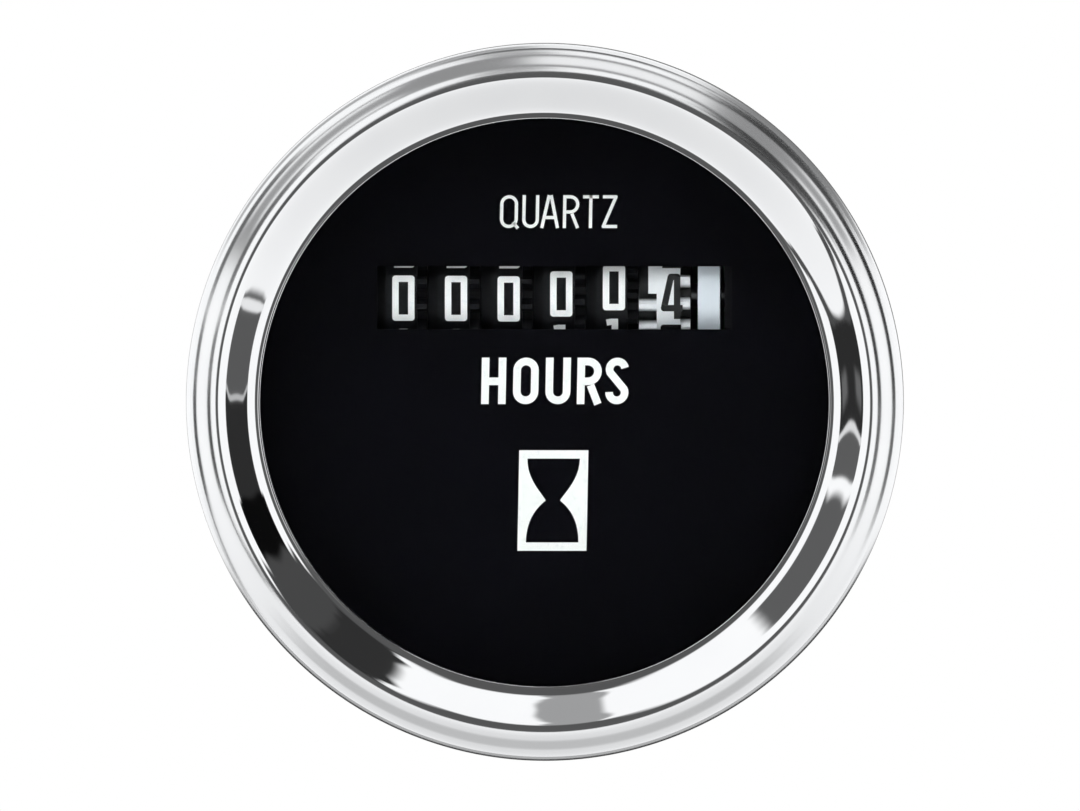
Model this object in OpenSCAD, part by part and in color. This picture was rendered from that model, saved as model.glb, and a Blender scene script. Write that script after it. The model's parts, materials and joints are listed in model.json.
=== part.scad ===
// Panel hour meter: a polished bezel over a glass lens and a dial, a six-wheel counter that shows
// through a window in the dial, the stepping motor and gear train that drive it, and the clamp
// that holds the case in a panel. The dial faces -Y and +Z is up. The origin is on the axis of
// the case, at the bezel's back face, where the panel's front lies. Sizes are in millimetres.

/* [Bezel] */
// Outside diameter of the bezel
bezel_d = 60; // [56:0.5:72]
// Thickness of the bezel's sheet metal
bezel_sheet = 0.5; // [0.4:0.05:0.6]
// Width of the bezel's front, from its rim to the opening
rim_w = 6.25; // [5:0.05:9]
// Distance from the rim to the bezel's rounded crest
crest_w = 2.7; // [2.5:0.05:3.2]
// Height of the crest over the rim and the lip
crest_rise = 1.95; // [1.6:0.05:2.2]
// Radius of the crest
crest_r = 1; // [0.8:0.05:1.1]
// Radius of the hollow between the rim and the crest
rim_foot_r = 0.9; // [0.6:0.05:1]
// Radius of the hollow between the crest and the lip
lip_foot_r = 1.3; // [0.9:0.05:1.6]
// Rounding of the bezel's edges at the hem, the rim and the lip
edge_round = 0.25; // [0.1:0.05:0.3]
// Gap between the case and the hem that is rolled behind its flange
hem_gap = 1; // [0.9:0.1:1.5]

/* [Case] */
// Outside diameter of the case, which passes through the panel
case_d = 51.6; // [50:0.1:60]
// Wall of the case beside the movement
case_wall = 1.8; // [1.4:0.1:2]
// Wall of the case around the dial's seat
seat_wall = 0.8; // [0.6:0.05:1]
// Room behind the circuit board for solder, screw heads and stud heads
board_room = 4.14; // [3:0.02:12]
// Thickness of the closed back
back_t = 2.2; // [1.6:0.1:3]
// Thickness of the front flange
flange_t = 1; // [0.8:0.1:1.6]
// Rounding of the back's outer edge
back_round = 1.5; // [0.5:0.1:2]

/* [Lens and dial] */
// Thickness of the glass lens
lens_t = 2; // [1.5:0.1:3]
// Width of the lens's rest on the case's flange
lens_seat = 1.4; // [0.8:0.1:2.4]
// Thickness of the gasket under the lens
gasket_t = 0.6; // [0.4:0.1:1]
// Distance from the lens to the dial
dial_depth = 4.6; // [3:0.1:6]
// Thickness of the dial
dial_t = 0.6; // [0.4:0.1:1]
// Width of the counter's window
window_w = 29.8; // [24:0.1:34]
// Height of the counter's window
window_h = 5.3; // [4:0.1:6]
// Place of the window's centre, to the right of the dial's centre
window_x = 0.7; // [-1:0.1:1]
// Height of the window's centre over the dial's centre
window_y = 8.6; // [8:0.1:9.5]

/* [Counter] */
// Diameter of the number wheels
wheel_d = 13.8; // [12.5:0.1:14.5]
// Width of a number wheel
wheel_w = 4.3; // [3.6:0.05:4.5]
// Side gap between two number wheels
wheel_gap = 0.12; // [0.1:0.01:0.2]
// Width of a wheel's toothed ring
ring_w = 0.84; // [0.7:0.02:1]
// Width of a wheel's recessed locking disc
lock_w = 0.79; // [0.6:0.02:1]
// Width of the two carry teeth
carry_w = 1.5; // [1.2:0.1:1.8]
// Diameter of the counter's shaft
shaft_d = 2; // [1.6:0.1:2.4]
// Diameter of the transfer pinions' shaft
pinion_shaft_d = 1.4; // [1.2:0.1:1.6]
// Depth of a ring's tooth tips below the figure band
ring_inset = 0.1275; // [0:0.0025:0.4]
// Width of the white collar beside the tenths wheel
collar_w = 1.85; // [1.4:0.05:2]
// Gap between the tenths wheel and the collar
collar_gap = 0.65; // [0.4:0.05:0.8]
// Distance of the row of wheels to the left of the window's centre
row_shift = 0.6; // [0:0.1:1.5]
// Gap between the dial and the wheels
dial_gap = 0.5; // [0.3:0.1:1]
// Figure on the tenths wheel that shows in the window
tenths_shown = 4; // [0:1:9]

/* [Gear train] */
// Tooth module of the drive gear and the second wheel
train_module = 0.4; // [0.35:0.01:0.42]
// Tooth module of the first wheel and the rotor's pinion
rotor_module = 0.3; // [0.25:0.01:0.32]
// Width of each train gear
gear_w = 0.8; // [0.6:0.05:0.9]
// Diameter of the train's arbors
arbor_d = 1.2; // [1:0.1:1.4]
// Diameter of the rotor's shaft
rotor_shaft_d = 0.9; // [0.8:0.05:1]
// Side gap between gears that pass each other
plane_gap = 0.3; // [0.2:0.05:0.4]

/* [Motor] */
// Diameter of the rotor's magnet
rotor_d = 4.4; // [3.6:0.1:4.8]
// Length of the rotor's magnet
rotor_l = 2.4; // [1.6:0.1:2.6]
// Thickness of the stator plate and of the coil's core
stator_t = 1; // [0.8:0.1:1.2]
// Diameter of the coil winding
coil_d = 4.8; // [4.4:0.1:5]

/* [Movement] */
// Thickness of the frame's plate behind the dial
plate_t = 1.2; // [1:0.1:1.6]
// Thickness of the frame's cheeks
cheek_t = 1; // [0.8:0.1:1.2]
// Diameter of the pillars that carry the circuit board
pillar_d = 3.4; // [3:0.1:3.6]
// Thickness of the circuit board
board_t = 1.6; // [1:0.1:1.8]
// Gap between the circuit board and the case
board_gap = 1.5; // [0.8:0.1:3]

/* [Mounting] */
// Diameter of the mounting studs
stud_d = 4; // [3.5:0.1:4.5]
// Distance between the two studs
stud_pitch = 28.6; // [26:0.1:34]
// Length of the studs behind the case
stud_l = 16.5; // [16:0.5:25]
// Width of the clamp's strip
clamp_w = 12; // [10:0.5:16]
// Thickness of the clamp's strip
clamp_t = 1.5; // [1.2:0.1:2]
// Gap between the case and the clamp's legs
clamp_gap = 1.4; // [1.4:0.1:4]
// Gap left for the panel between the bezel and the clamp's feet
panel_gap = 6; // [5:0.5:10]
// Gap between the stud nuts and the clamp
clamp_clear = 3; // [2:0.5:4]
// Width of a push-on terminal blade
blade_w = 6.3; // [4.8:0.1:6.4]
// Thickness of a push-on terminal blade
blade_t = 0.8; // [0.5:0.1:1]
// Length of the blades behind the case
blade_l = 10; // [8:0.5:12]
// Diameter of the hole in a blade
blade_hole_d = 1.7; // [1.2:0.1:2]

/* [Hidden] */
$fn = 64;

// Clearances: a turning fit, a fixed fit and the play of a loose piece, each on the radius
run_gap = 0.05;
fixed_gap = 0.02;
loose_gap = 0.2;

// Colours
steel = "#b9bcc0";
black = "#1b1c1f";
white = "#ecebe4";
brass = "#c8a24a";
copper = "#b06a3a";
zinc = "#a9adb0";

// Heights along the meter's axis, positive towards the viewer
flange_front = bezel_sheet + flange_t;
lens_back = flange_front + gasket_t;
lens_front = lens_back + lens_t;
lip_front = lens_front + bezel_sheet;
dial_front = lens_back - dial_depth;
dial_back = dial_front - dial_t;
plate_back = dial_back - plate_t;

// Radii of the case
case_r = case_d / 2;
inner_r = case_r - case_wall;
seat_r = case_r - seat_wall;
flange_r = bezel_d / 2 - bezel_sheet - loose_gap / 2;
hem_r = case_r + hem_gap;
opening_r = bezel_d / 2 - rim_w;
lens_d = 2 * (seat_r + lens_seat);
spacer_r = seat_r - loose_gap;
spacer_wall = 0.8;

// Tooth form: 25 degree involute flanks, thinned for play
pressure = 25;
tip_share = 0.75;
root_share = 1.05;
flank_play = 0.05;
flank_steps = 3;

// Axes of the counter and the train, as height over the dial's centre and place in depth
wheel_r = wheel_d / 2;
ring_teeth = 20;
ring_module = 2 * (wheel_r - ring_inset) / (ring_teeth + 2 * tip_share);
pinion_teeth = 8;
drive_teeth = 32;
second_pinion_teeth = 8;
second_teeth = 25;
first_pinion_teeth = 10;
first_teeth = 40;
rotor_teeth = 8;
counter_axis = [window_y, dial_back - dial_gap - wheel_r];
pinion_axis = counter_axis - [0, ring_module * (ring_teeth + pinion_teeth) / 2];
second_axis = counter_axis - train_module * (drive_teeth + second_pinion_teeth) / 2 * [1, 0];
first_axis = second_axis - train_module * (second_teeth + first_pinion_teeth) / 2 * [0.8, 0.6];
rotor_axis = first_axis - rotor_module * (first_teeth + rotor_teeth) / 2 * [0.6, 0.8];

// Sideways places of the wheels, the cheeks and the gears
wheel_pitch = wheel_w + wheel_gap;
wheel_count = 6;
row_w = wheel_count * wheel_pitch - wheel_gap + collar_gap + collar_w;
wheels_left = window_x - row_shift - row_w / 2;
tenths_left = wheels_left + (wheel_count - 1) * wheel_pitch;
collar_left = tenths_left + wheel_w + collar_gap;
cheek_clear = 0.4;
left_cheek = wheels_left - cheek_clear;
right_cheek = collar_left + collar_w + cheek_clear;
drive_plane = right_cheek + cheek_t + plane_gap;
second_plane = drive_plane + gear_w + plane_gap;
bridge_left = second_plane + gear_w + plane_gap;
bridge_t = 0.8;
bridge_right = bridge_left + bridge_t;
first_plane = right_cheek - 2 * plane_gap - gear_w;

// Angles of the wheels, from a zero in the middle of the window, as the figures rise: each stands a little
// off its figure, from the tenths wheel to the ten thousands
figure_step = 360 / 10;
wheel_creep = [0.8, 7, 2.5, -0.8, -0.8, -0.8];
wheel_turns = wheel_creep + [tenths_shown * figure_step, 0, 0, 0, 0, 0];
ring_offset = 5.8;
carry_offset = -20;

// Walls of a number wheel, the collar's drop and the clearances of a transfer pinion
wheel_rim = 0.7;
lock_rise = 0.1;
hub_wall = 1.1;
web_step = 0.1;
web_t = 1.1;
collar_drop = 0.2;
pinion_side_gap = 0.1;
carry_clear = 0.3;
pinion_hub_r = counter_axis[1] - pinion_axis[1] - wheel_r - carry_clear;

// Motor
rotor_run = 5.2;
stator_left = first_plane - rotor_run;
stator_half = 8.6;
leg_w = 3;
rotor_play = 0.5;
pole_r = rotor_d / 2 + rotor_play;
yoke_edge = 1.3;
yoke_top = 0.9;
coil_rim = 0.1;
bobbin_r = coil_d / 2 + coil_rim;
bobbin_wall = 0.8;
core_w = 2.8;
core_y = rotor_axis[0] - pole_r - yoke_edge - loose_gap - bobbin_r;
core_left = stator_left - stator_t;
core_middle = core_left + stator_t / 2;
leg_z = [rotor_axis[1] - stator_half + leg_w / 2, rotor_axis[1] + stator_half - leg_w / 2];
bobbin_half = stator_half - leg_w - loose_gap / 2;
tube_d = norm([stator_t, core_w]) + bobbin_wall;
pin_places = [-0.7, 0.7];
pin_d = 0.5;
pin_x = core_middle - bobbin_r + pin_d;
pin_end = 0.5;
post_d = 2.6;
stub_d = 1.4;
screw_d = 1.2;
head_d = 2.4;
head_t = 1;
flat_head_t = 0.8;
screw_bite = 3;

// Frame, board and the pieces on the board
frame_r = seat_r - loose_gap;
cheek_top = counter_axis[0] + wheel_r;
cheek_foot = 1.6;
cheek_low = core_y - cheek_foot;
cheek_margin = 2.6;
left_cheek_back = pinion_axis[1] - cheek_margin;
right_cheek_back = rotor_axis[1] - stator_half - loose_gap / 2;
window_margin = 1.1;
solder_gap = 0.9;
board_front = right_cheek_back - solder_gap;
board_back = board_front - board_t;
board_r = inner_r - board_gap;
pillars = [for (a = [58, 166, 262]) polar(board_r - pillar_d / 2, a)];
bridge_margin = [2.5, 2.5];
bridge_inset = [1.5, 1.8];
bridge_low = rotor_axis - bridge_margin;
bridge_high = second_axis + bridge_margin;
bridge_corners = [
    [bridge_low[0] + bridge_inset[0], bridge_high[1] - bridge_inset[1]],
    [bridge_high[0] - bridge_inset[0], bridge_low[1] + bridge_inset[1]]
];

// Pieces on the board: place, diameter or size, and length
crystal_place = [-12, -5];
crystal_d = 2.1;
crystal_l = 6;
chip_place = [-7, -2.5];
chip_size = [6, 5, 1.6];
capacitor_place = [-11.5, -9.8];
capacitor_d = 6.3;
capacitor_l = 7.5;
suppressor_place = [-10, 8];
suppressor_d = 7;
suppressor_t = 2.2;
resistor_row = [-1.2, 1, 3.2];
resistor_y = -12;
resistor_d = 1.6;
resistor_l = 4;

// Shaft clips
clip_t = 0.4;
clip_w = 0.9;
small_clip_w = 0.7;
clip_gap = 0.05;
shaft_end = 0.5;

// Back of the case, terminals and mounting
floor_front = board_back - board_room;
case_back = floor_front - back_t;
terminal_places = [[-8, -14], [8, -14]];
terminal_stop = 1.6;
stop_l = 1;
tail_w = 1.5;
tail_end = 0.4;
blade_hole_place = 4;
washer_w = 1.8;
washer_t = 0.9;
washer_r = stud_d / 2 + washer_w;
nut_t = 3.2;
nut_flats = 7;
stud_head_t = 1.6;
stud_head_flats = 6;
stud_nut_back = case_back - washer_t - nut_t;
clamp_front = stud_nut_back - clamp_clear;
clamp_back = clamp_front - clamp_t;
clamp_inside = case_d + 2 * clamp_gap;
bend_r = 1.5;

function polar(r, a) = r * [cos(a), sin(a)];
function arc(centre, r, from, to, steps) =
    [for (i = [0 : steps]) centre + polar(r, from + (to - from) * i / steps)];
function direction(v) = atan2(v[1], v[0]);

// Involute tooth: half its angle at a radius, and the outline of a whole gear
function involute(a) = tan(a) * 180 / PI - a;
function base_r(teeth, m) = m * teeth / 2 * cos(pressure);
function half_tooth(teeth, m, r) =
    90 / teeth - flank_play / (m * teeth / 2) * 180 / PI + involute(pressure)
    - (r > base_r(teeth, m) ? involute(acos(base_r(teeth, m) / r)) : 0);
function root_r(teeth, m) = m * (teeth / 2 - root_share);
function tip_r(teeth, m) = m * (teeth / 2 + tip_share);
function flank(teeth, m) =
    let (low = max(root_r(teeth, m), base_r(teeth, m)), high = tip_r(teeth, m))
    concat(
        root_r(teeth, m) < low ? [root_r(teeth, m)] : [],
        [for (i = [0 : flank_steps]) low + (high - low) * i / flank_steps]
    );
function reversed(list) = [for (i = [len(list) - 1 : -1 : 0]) list[i]];
function tooth(teeth, m, a) = concat(
    [for (r = flank(teeth, m)) polar(r, a - half_tooth(teeth, m, r))],
    [for (r = reversed(flank(teeth, m))) polar(r, a + half_tooth(teeth, m, r))]
);
function gear_outline(teeth, m) =
    [for (i = [0 : teeth - 1]) each tooth(teeth, m, i * 360 / teeth)];

// Angle of the line from one axis to another, as a gear sees it from its own axis
function bearing(from, to) = direction([from[1] - to[1], to[0] - from[0]]);
// Turn that puts a gap of the second gear where a tooth of the first one points
function meshed(from, to, teeth) = bearing(from, to) + 180 + 180 / teeth;

// The dial's frame, x to the right, y up and z to the viewer, stood up to face -Y
module upright() {
    rotate([90, 0, 0]) children();
}

// A piece that turns about a sideways axis, starting at x
module on_axis(axis, x) {
    upright() translate([x, axis[0], axis[1]]) rotate([0, 90, 0]) children();
}

module block(low, high) {
    translate(low) cube(high - low);
}

module rod(axis, from, to, d) {
    on_axis(axis, from) cylinder(d = d, h = to - from);
}

module ring(outer_d, inner_d, t) {
    linear_extrude(t) difference() {
        circle(d = outer_d);
        circle(d = inner_d);
    }
}

module gear(teeth, m, w, bore_d, turn) {
    linear_extrude(w) difference() {
        rotate(turn) polygon(gear_outline(teeth, m));
        circle(d = bore_d);
    }
}

module solid_gear(teeth, m, w, turn) {
    linear_extrude(w) rotate(turn) polygon(gear_outline(teeth, m));
}

// A wedge that takes in two teeth of a ring
module wedge(r, w, middle) {
    half = figure_step / 2;
    reach = 2 * r;
    linear_extrude(w)
        polygon([[0, 0], polar(reach, middle - half), polar(reach, middle), polar(reach, middle + half)]);
}

module hex(flats, bore_d, t) {
    difference() {
        cylinder(d = flats / cos(30), h = t, $fn = 6);
        translate([0, 0, -1]) cylinder(d = bore_d, h = t + 2);
    }
}

module at_studs(z) {
    for (side = [-1, 1])
        upright() translate([side * stud_pitch / 2, 0, z]) children();
}

// Bezel: its outer skin from the hem up the skirt, over the crest and down to the lip, and back inside
skirt_r = bezel_d / 2;
crest_centre = [skirt_r - crest_w, lip_front + crest_rise - crest_r];
rim_foot = [skirt_r - edge_round, lip_front + rim_foot_r];
lip_foot = [opening_r + edge_round, lip_front + lip_foot_r];
// Slope of the line that leaves the crest's circle and runs into the circle of a hollow
function slope(foot, foot_r) =
    let (run = abs(foot[0] - crest_centre[0]), fall = crest_centre[1] - foot[1])
    asin((crest_r + foot_r) / norm([run, fall])) + atan2(fall, run);
rim_slope = slope(rim_foot, rim_foot_r);
lip_slope = slope(lip_foot, lip_foot_r);
skirt_slope = asin((bezel_sheet - edge_round) / (rim_foot_r + bezel_sheet));
bend_steps = 6;
round_steps = 14;

module bezel() {
    outside = concat(
        [[hem_r, 0]],
        arc([skirt_r - edge_round, edge_round], edge_round, -90, 0, bend_steps),
        arc([skirt_r - edge_round, lip_front - edge_round], edge_round, 0, 90, bend_steps),
        arc(rim_foot, rim_foot_r, -90, -90 - rim_slope, round_steps),
        arc(crest_centre, crest_r, 90 - rim_slope, 90 + lip_slope, round_steps),
        arc(lip_foot, lip_foot_r, -90 + lip_slope, -90, round_steps),
        arc([opening_r + edge_round, lip_front - edge_round], edge_round, 90, 180, bend_steps)
    );
    inside = concat(
        [[opening_r, lens_front]],
        arc(lip_foot, lip_foot_r + bezel_sheet, -90, -90 + lip_slope, round_steps),
        arc(crest_centre, crest_r - bezel_sheet, 90 + lip_slope, 90 - rim_slope, round_steps),
        arc(rim_foot, rim_foot_r + bezel_sheet, -90 - rim_slope, -90 - skirt_slope, round_steps),
        [
            [skirt_r - bezel_sheet, bezel_sheet],
            [hem_r, bezel_sheet]
        ]
    );
    color(steel) upright() rotate_extrude($fn = 128) polygon(concat(outside, inside));
}

module lens() {
    color("#dfe9ec", 0.3) upright() translate([0, 0, lens_back]) cylinder(d = lens_d, h = lens_t);
}

module lens_gasket() {
    color(black) upright() translate([0, 0, flange_front])
        ring(lens_d, 2 * seat_r + loose_gap, gasket_t);
}

module spacer_ring() {
    color(black) upright() translate([0, 0, dial_front])
        ring(2 * spacer_r, 2 * (spacer_r - spacer_wall), dial_depth);
}

module dial() {
    color(black) upright() translate([0, 0, dial_back]) linear_extrude(dial_t) difference() {
        circle(r = seat_r - loose_gap);
        translate([window_x, window_y]) square([window_w, window_h], center = true);
    }
}

module blade_slot(place, low, high, w, t) {
    block([place[0] - w / 2, place[1] - t / 2, low], [place[0] + w / 2, place[1] + t / 2, high]);
}

module case() {
    outline = concat(
        [[0, case_back]],
        arc([case_r - back_round, case_back + back_round], back_round, -90, 0, bend_steps),
        [
            [case_r, bezel_sheet],
            [flange_r, bezel_sheet],
            [flange_r, flange_front],
            [seat_r, flange_front],
            [seat_r, plate_back],
            [inner_r, plate_back],
            [inner_r, floor_front],
            [0, floor_front]
        ]
    );
    color(black) difference() {
        upright() rotate_extrude($fn = 128) polygon(outline);
        at_studs(case_back - 1) cylinder(d = stud_d + loose_gap, h = back_t + 2);
        upright() for (place = terminal_places)
            blade_slot(place, case_back - 1, floor_front + 1, blade_w + 2 * fixed_gap, blade_t + 2 * fixed_gap);
    }
}

// Frame: plate behind the dial, two cheeks for the shafts and three pillars for the board
module movement_frame() {
    opening_h = window_h + 2 * window_margin;
    gear_reach = tip_r(drive_teeth, train_module) + plane_gap;
    color(black) difference() {
        union() {
            upright() translate([0, 0, plate_back]) linear_extrude(plate_t) difference() {
                circle(r = frame_r);
                translate([left_cheek, window_y - opening_h / 2])
                    square([right_cheek - left_cheek, opening_h]);
            }
            upright() block(
                [left_cheek - cheek_t, counter_axis[0] - wheel_r, left_cheek_back],
                [left_cheek, cheek_top, plate_back]
            );
            upright() block(
                [right_cheek, cheek_low, right_cheek_back],
                [right_cheek + cheek_t, cheek_top, plate_back]
            );
            upright() for (place = pillars)
                translate([place[0], place[1], board_front])
                    cylinder(d = pillar_d, h = plate_back - board_front);
        }
        rod(counter_axis, left_cheek - 2, right_cheek + 2, shaft_d + 2 * run_gap);
        rod(pinion_axis, left_cheek - 2, right_cheek + 2, pinion_shaft_d + 2 * fixed_gap);
        for (axis = [second_axis, first_axis])
            rod(axis, right_cheek - 1, right_cheek + 2, arbor_d + 2 * run_gap);
        rod(rotor_axis, right_cheek - 1, right_cheek + 2, rotor_shaft_d + 2 * run_gap);
        rod(counter_axis, drive_plane - plane_gap, drive_plane + gear_w + plane_gap, 2 * gear_reach);
        for (z = leg_z)
            rod([core_y, z], right_cheek - 1, right_cheek + 2, stub_d + 2 * fixed_gap);
        for (corner = bridge_corners)
            rod(corner, right_cheek - 1, right_cheek + 2, stub_d + 2 * fixed_gap);
        upright() for (place = pillars)
            translate([place[0], place[1], board_front - 1])
                cylinder(d = screw_d + 2 * fixed_gap, h = screw_bite + 2);
    }
}

module counter_shaft() {
    color(zinc) rod(
        counter_axis,
        left_cheek - cheek_t - clip_t - shaft_end,
        drive_plane + gear_w + plane_gap / 2,
        shaft_d
    );
}

module counter_shaft_clip() {
    color(zinc) on_axis(counter_axis, left_cheek - cheek_t - clip_gap - clip_t)
        ring(shaft_d + 2 * clip_w, shaft_d, clip_t);
}

// Number wheel: locking disc with two carry teeth, figure band, toothed ring, web and hub
module number_wheel(index, paint, bore_d) {
    rim_in = root_r(ring_teeth, ring_module) - wheel_rim;
    lock_r = root_r(ring_teeth, ring_module) + lock_rise;
    hub_r = shaft_d / 2 + hub_wall;
    web_from = carry_w + web_step;
    turn = -wheel_turns[index];
    left = tenths_left - index * wheel_pitch;
    color(paint) on_axis(counter_axis, left) rotate(turn) difference() {
        union() {
            cylinder(r = lock_r, h = wheel_w - ring_w);
            difference() {
                translate([0, 0, lock_w]) cylinder(r = wheel_r, h = wheel_w - ring_w - lock_w);
                wedge(wheel_r, carry_w, carry_offset);
            }
            intersection() {
                solid_gear(ring_teeth, ring_module, carry_w, carry_offset + 180 / ring_teeth);
                wedge(wheel_r, carry_w, carry_offset);
            }
            translate([0, 0, wheel_w - ring_w])
                solid_gear(ring_teeth, ring_module, ring_w, ring_offset);
        }
        translate([0, 0, -1]) cylinder(d = bore_d, h = wheel_w + 2);
        translate([0, 0, -1]) ring(2 * rim_in, 2 * hub_r, 1 + web_from);
        translate([0, 0, web_from + web_t]) ring(2 * rim_in, 2 * hub_r, wheel_w);
    }
}

module tenths_wheel() {
    number_wheel(0, white, shaft_d);
}

module units_wheel() {
    number_wheel(1, black, shaft_d + 2 * run_gap);
}

module tens_wheel() {
    number_wheel(2, black, shaft_d + 2 * run_gap);
}

module hundreds_wheel() {
    number_wheel(3, black, shaft_d + 2 * run_gap);
}

module thousands_wheel() {
    number_wheel(4, black, shaft_d + 2 * run_gap);
}

module ten_thousands_wheel() {
    number_wheel(5, black, shaft_d + 2 * run_gap);
}

module drive_collar() {
    color(white) on_axis(counter_axis, collar_left) ring(wheel_d - 2 * collar_drop, shaft_d, collar_w);
}

module drive_gear() {
    color(white) on_axis(counter_axis, drive_plane)
        gear(drive_teeth, train_module, gear_w, shaft_d, bearing(counter_axis, second_axis));
}

module pinion_shaft() {
    reach = cheek_t + clip_t + shaft_end;
    color(zinc) rod(pinion_axis, left_cheek - reach, right_cheek + reach, pinion_shaft_d);
}

module pinion_shaft_clips() {
    for (x = [left_cheek - cheek_t - clip_gap - clip_t, right_cheek + cheek_t + clip_gap])
        color(zinc) on_axis(pinion_axis, x)
            ring(pinion_shaft_d + 2 * small_clip_w, pinion_shaft_d, clip_t);
}

// Transfer pinion: teeth beside one wheel's ring, and a slim hub that passes the next wheel's carry teeth
module transfer_pinion(index) {
    ring_left = tenths_left - index * wheel_pitch + wheel_w - ring_w;
    tooth_w = ring_w - pinion_side_gap;
    ring_turn = ring_offset - wheel_turns[index];
    turn = 180 + 180 / pinion_teeth - ring_turn * ring_teeth / pinion_teeth;
    color(white) on_axis(pinion_axis, ring_left + pinion_side_gap) difference() {
        union() {
            solid_gear(pinion_teeth, ring_module, tooth_w, turn);
            cylinder(r = pinion_hub_r, h = tooth_w + wheel_gap + lock_w);
        }
        translate([0, 0, -1]) cylinder(d = pinion_shaft_d + 2 * run_gap, h = wheel_w);
    }
}

module units_pinion() {
    transfer_pinion(1);
}

module tens_pinion() {
    transfer_pinion(2);
}

module hundreds_pinion() {
    transfer_pinion(3);
}

module thousands_pinion() {
    transfer_pinion(4);
}

module ten_thousands_pinion() {
    transfer_pinion(5);
}

module second_arbor() {
    color(brass) {
        rod(second_axis, right_cheek, bridge_right, arbor_d);
        on_axis(second_axis, drive_plane) solid_gear(
            second_pinion_teeth, train_module, gear_w,
            meshed(counter_axis, second_axis, second_pinion_teeth)
        );
    }
}

module second_wheel() {
    color(brass) on_axis(second_axis, second_plane)
        gear(second_teeth, train_module, gear_w, arbor_d, bearing(second_axis, first_axis));
}

module first_arbor() {
    color(brass) {
        rod(first_axis, first_plane - plane_gap, bridge_right, arbor_d);
        on_axis(first_axis, second_plane) solid_gear(
            first_pinion_teeth, train_module, gear_w,
            meshed(second_axis, first_axis, first_pinion_teeth)
        );
    }
}

module first_wheel() {
    color(brass) on_axis(first_axis, first_plane)
        gear(first_teeth, rotor_module, gear_w, arbor_d, bearing(first_axis, rotor_axis));
}

module rotor_shaft() {
    magnet_left = stator_left + stator_t / 2 - rotor_l / 2;
    color(zinc) {
        rod(rotor_axis, magnet_left - plane_gap, bridge_right, rotor_shaft_d);
        on_axis(rotor_axis, first_plane) solid_gear(
            rotor_teeth, rotor_module, gear_w,
            meshed(first_axis, rotor_axis, rotor_teeth)
        );
    }
}

module rotor_magnet() {
    color("#55575c") on_axis(rotor_axis, stator_left + stator_t / 2 - rotor_l / 2)
        ring(rotor_d, rotor_shaft_d, rotor_l);
}

// Bridge: outer plate that holds the far ends of the arbors, on two posts
module gear_bridge() {
    color(brass) difference() {
        upright() block(
            [bridge_left, bridge_low[0], bridge_low[1]],
            [bridge_right, bridge_high[0], bridge_high[1]]
        );
        for (axis = [second_axis, first_axis])
            rod(axis, bridge_left - 1, bridge_right + 1, arbor_d + 2 * run_gap);
        rod(rotor_axis, bridge_left - 1, bridge_right + 1, rotor_shaft_d + 2 * run_gap);
        for (corner = bridge_corners)
            rod(corner, bridge_left - 1, bridge_right + 1, screw_d + 2 * fixed_gap);
    }
}

module bridge_posts() {
    outer = right_cheek + cheek_t;
    for (corner = bridge_corners) color(brass) difference() {
        union() {
            rod(corner, outer, bridge_left, post_d);
            rod(corner, right_cheek, outer, stub_d);
        }
        rod(corner, outer, bridge_left + 1, screw_d + 2 * fixed_gap);
    }
}

module bridge_screws() {
    for (corner = bridge_corners) color(zinc) {
        rod(corner, right_cheek + cheek_t + loose_gap, bridge_right, screw_d);
        rod(corner, bridge_right, bridge_right + flat_head_t, head_d);
    }
}

// Stator: a flat yoke around the rotor with two legs that the coil's core joins
module stator() {
    yoke_low = rotor_axis[0] - pole_r - yoke_edge;
    yoke_high = rotor_axis[0] + pole_r + yoke_top;
    leg_low = core_y - core_w / 2;
    color(zinc) difference() {
        upright() block(
            [stator_left, leg_low, rotor_axis[1] - stator_half],
            [stator_left + stator_t, yoke_high, rotor_axis[1] + stator_half]
        );
        upright() block(
            [stator_left - 1, leg_low - 1, rotor_axis[1] - stator_half + leg_w],
            [stator_left + stator_t + 1, yoke_low, rotor_axis[1] + stator_half - leg_w]
        );
        rod(rotor_axis, stator_left - 1, stator_left + stator_t + 1, 2 * pole_r);
        for (z = leg_z)
            rod([core_y, z], stator_left - 1, stator_left + stator_t + 1, screw_d + 2 * fixed_gap);
    }
}

module core_bar(play) {
    upright() block(
        [core_left - play, core_y - core_w / 2 - play, rotor_axis[1] - stator_half],
        [core_left + stator_t + play, core_y + core_w / 2 + play, rotor_axis[1] + stator_half]
    );
}

module coil_core() {
    color(zinc) difference() {
        core_bar(0);
        for (z = leg_z)
            rod([core_y, z], core_left - 1, core_left + stator_t + 1, screw_d + 2 * fixed_gap);
    }
}

module coil_tube(d, from, to) {
    upright() translate([core_middle, core_y, rotor_axis[1] + from]) cylinder(d = d, h = to - from);
}

module coil_bobbin() {
    color(white) difference() {
        union() {
            coil_tube(tube_d, -bobbin_half, bobbin_half);
            coil_tube(2 * bobbin_r, -bobbin_half, bobbin_wall - bobbin_half);
            coil_tube(2 * bobbin_r, bobbin_half - bobbin_wall, bobbin_half);
        }
        core_bar(fixed_gap);
        upright() for (y = pin_places)
            translate([pin_x, core_y + y, rotor_axis[1] - bobbin_half - 1])
                cylinder(d = pin_d + 2 * fixed_gap, h = 1 + bobbin_wall / 2);
    }
}

module coil_winding() {
    half = bobbin_half - bobbin_wall;
    color(copper) difference() {
        coil_tube(coil_d, -half, half);
        coil_tube(tube_d, -half - 1, half + 1);
    }
}

module coil_pins() {
    low = board_back - pin_end;
    high = rotor_axis[1] - bobbin_half + bobbin_wall / 2;
    color(zinc) upright() for (y = pin_places)
        translate([pin_x, core_y + y, low]) cylinder(d = pin_d, h = high - low);
}

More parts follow.
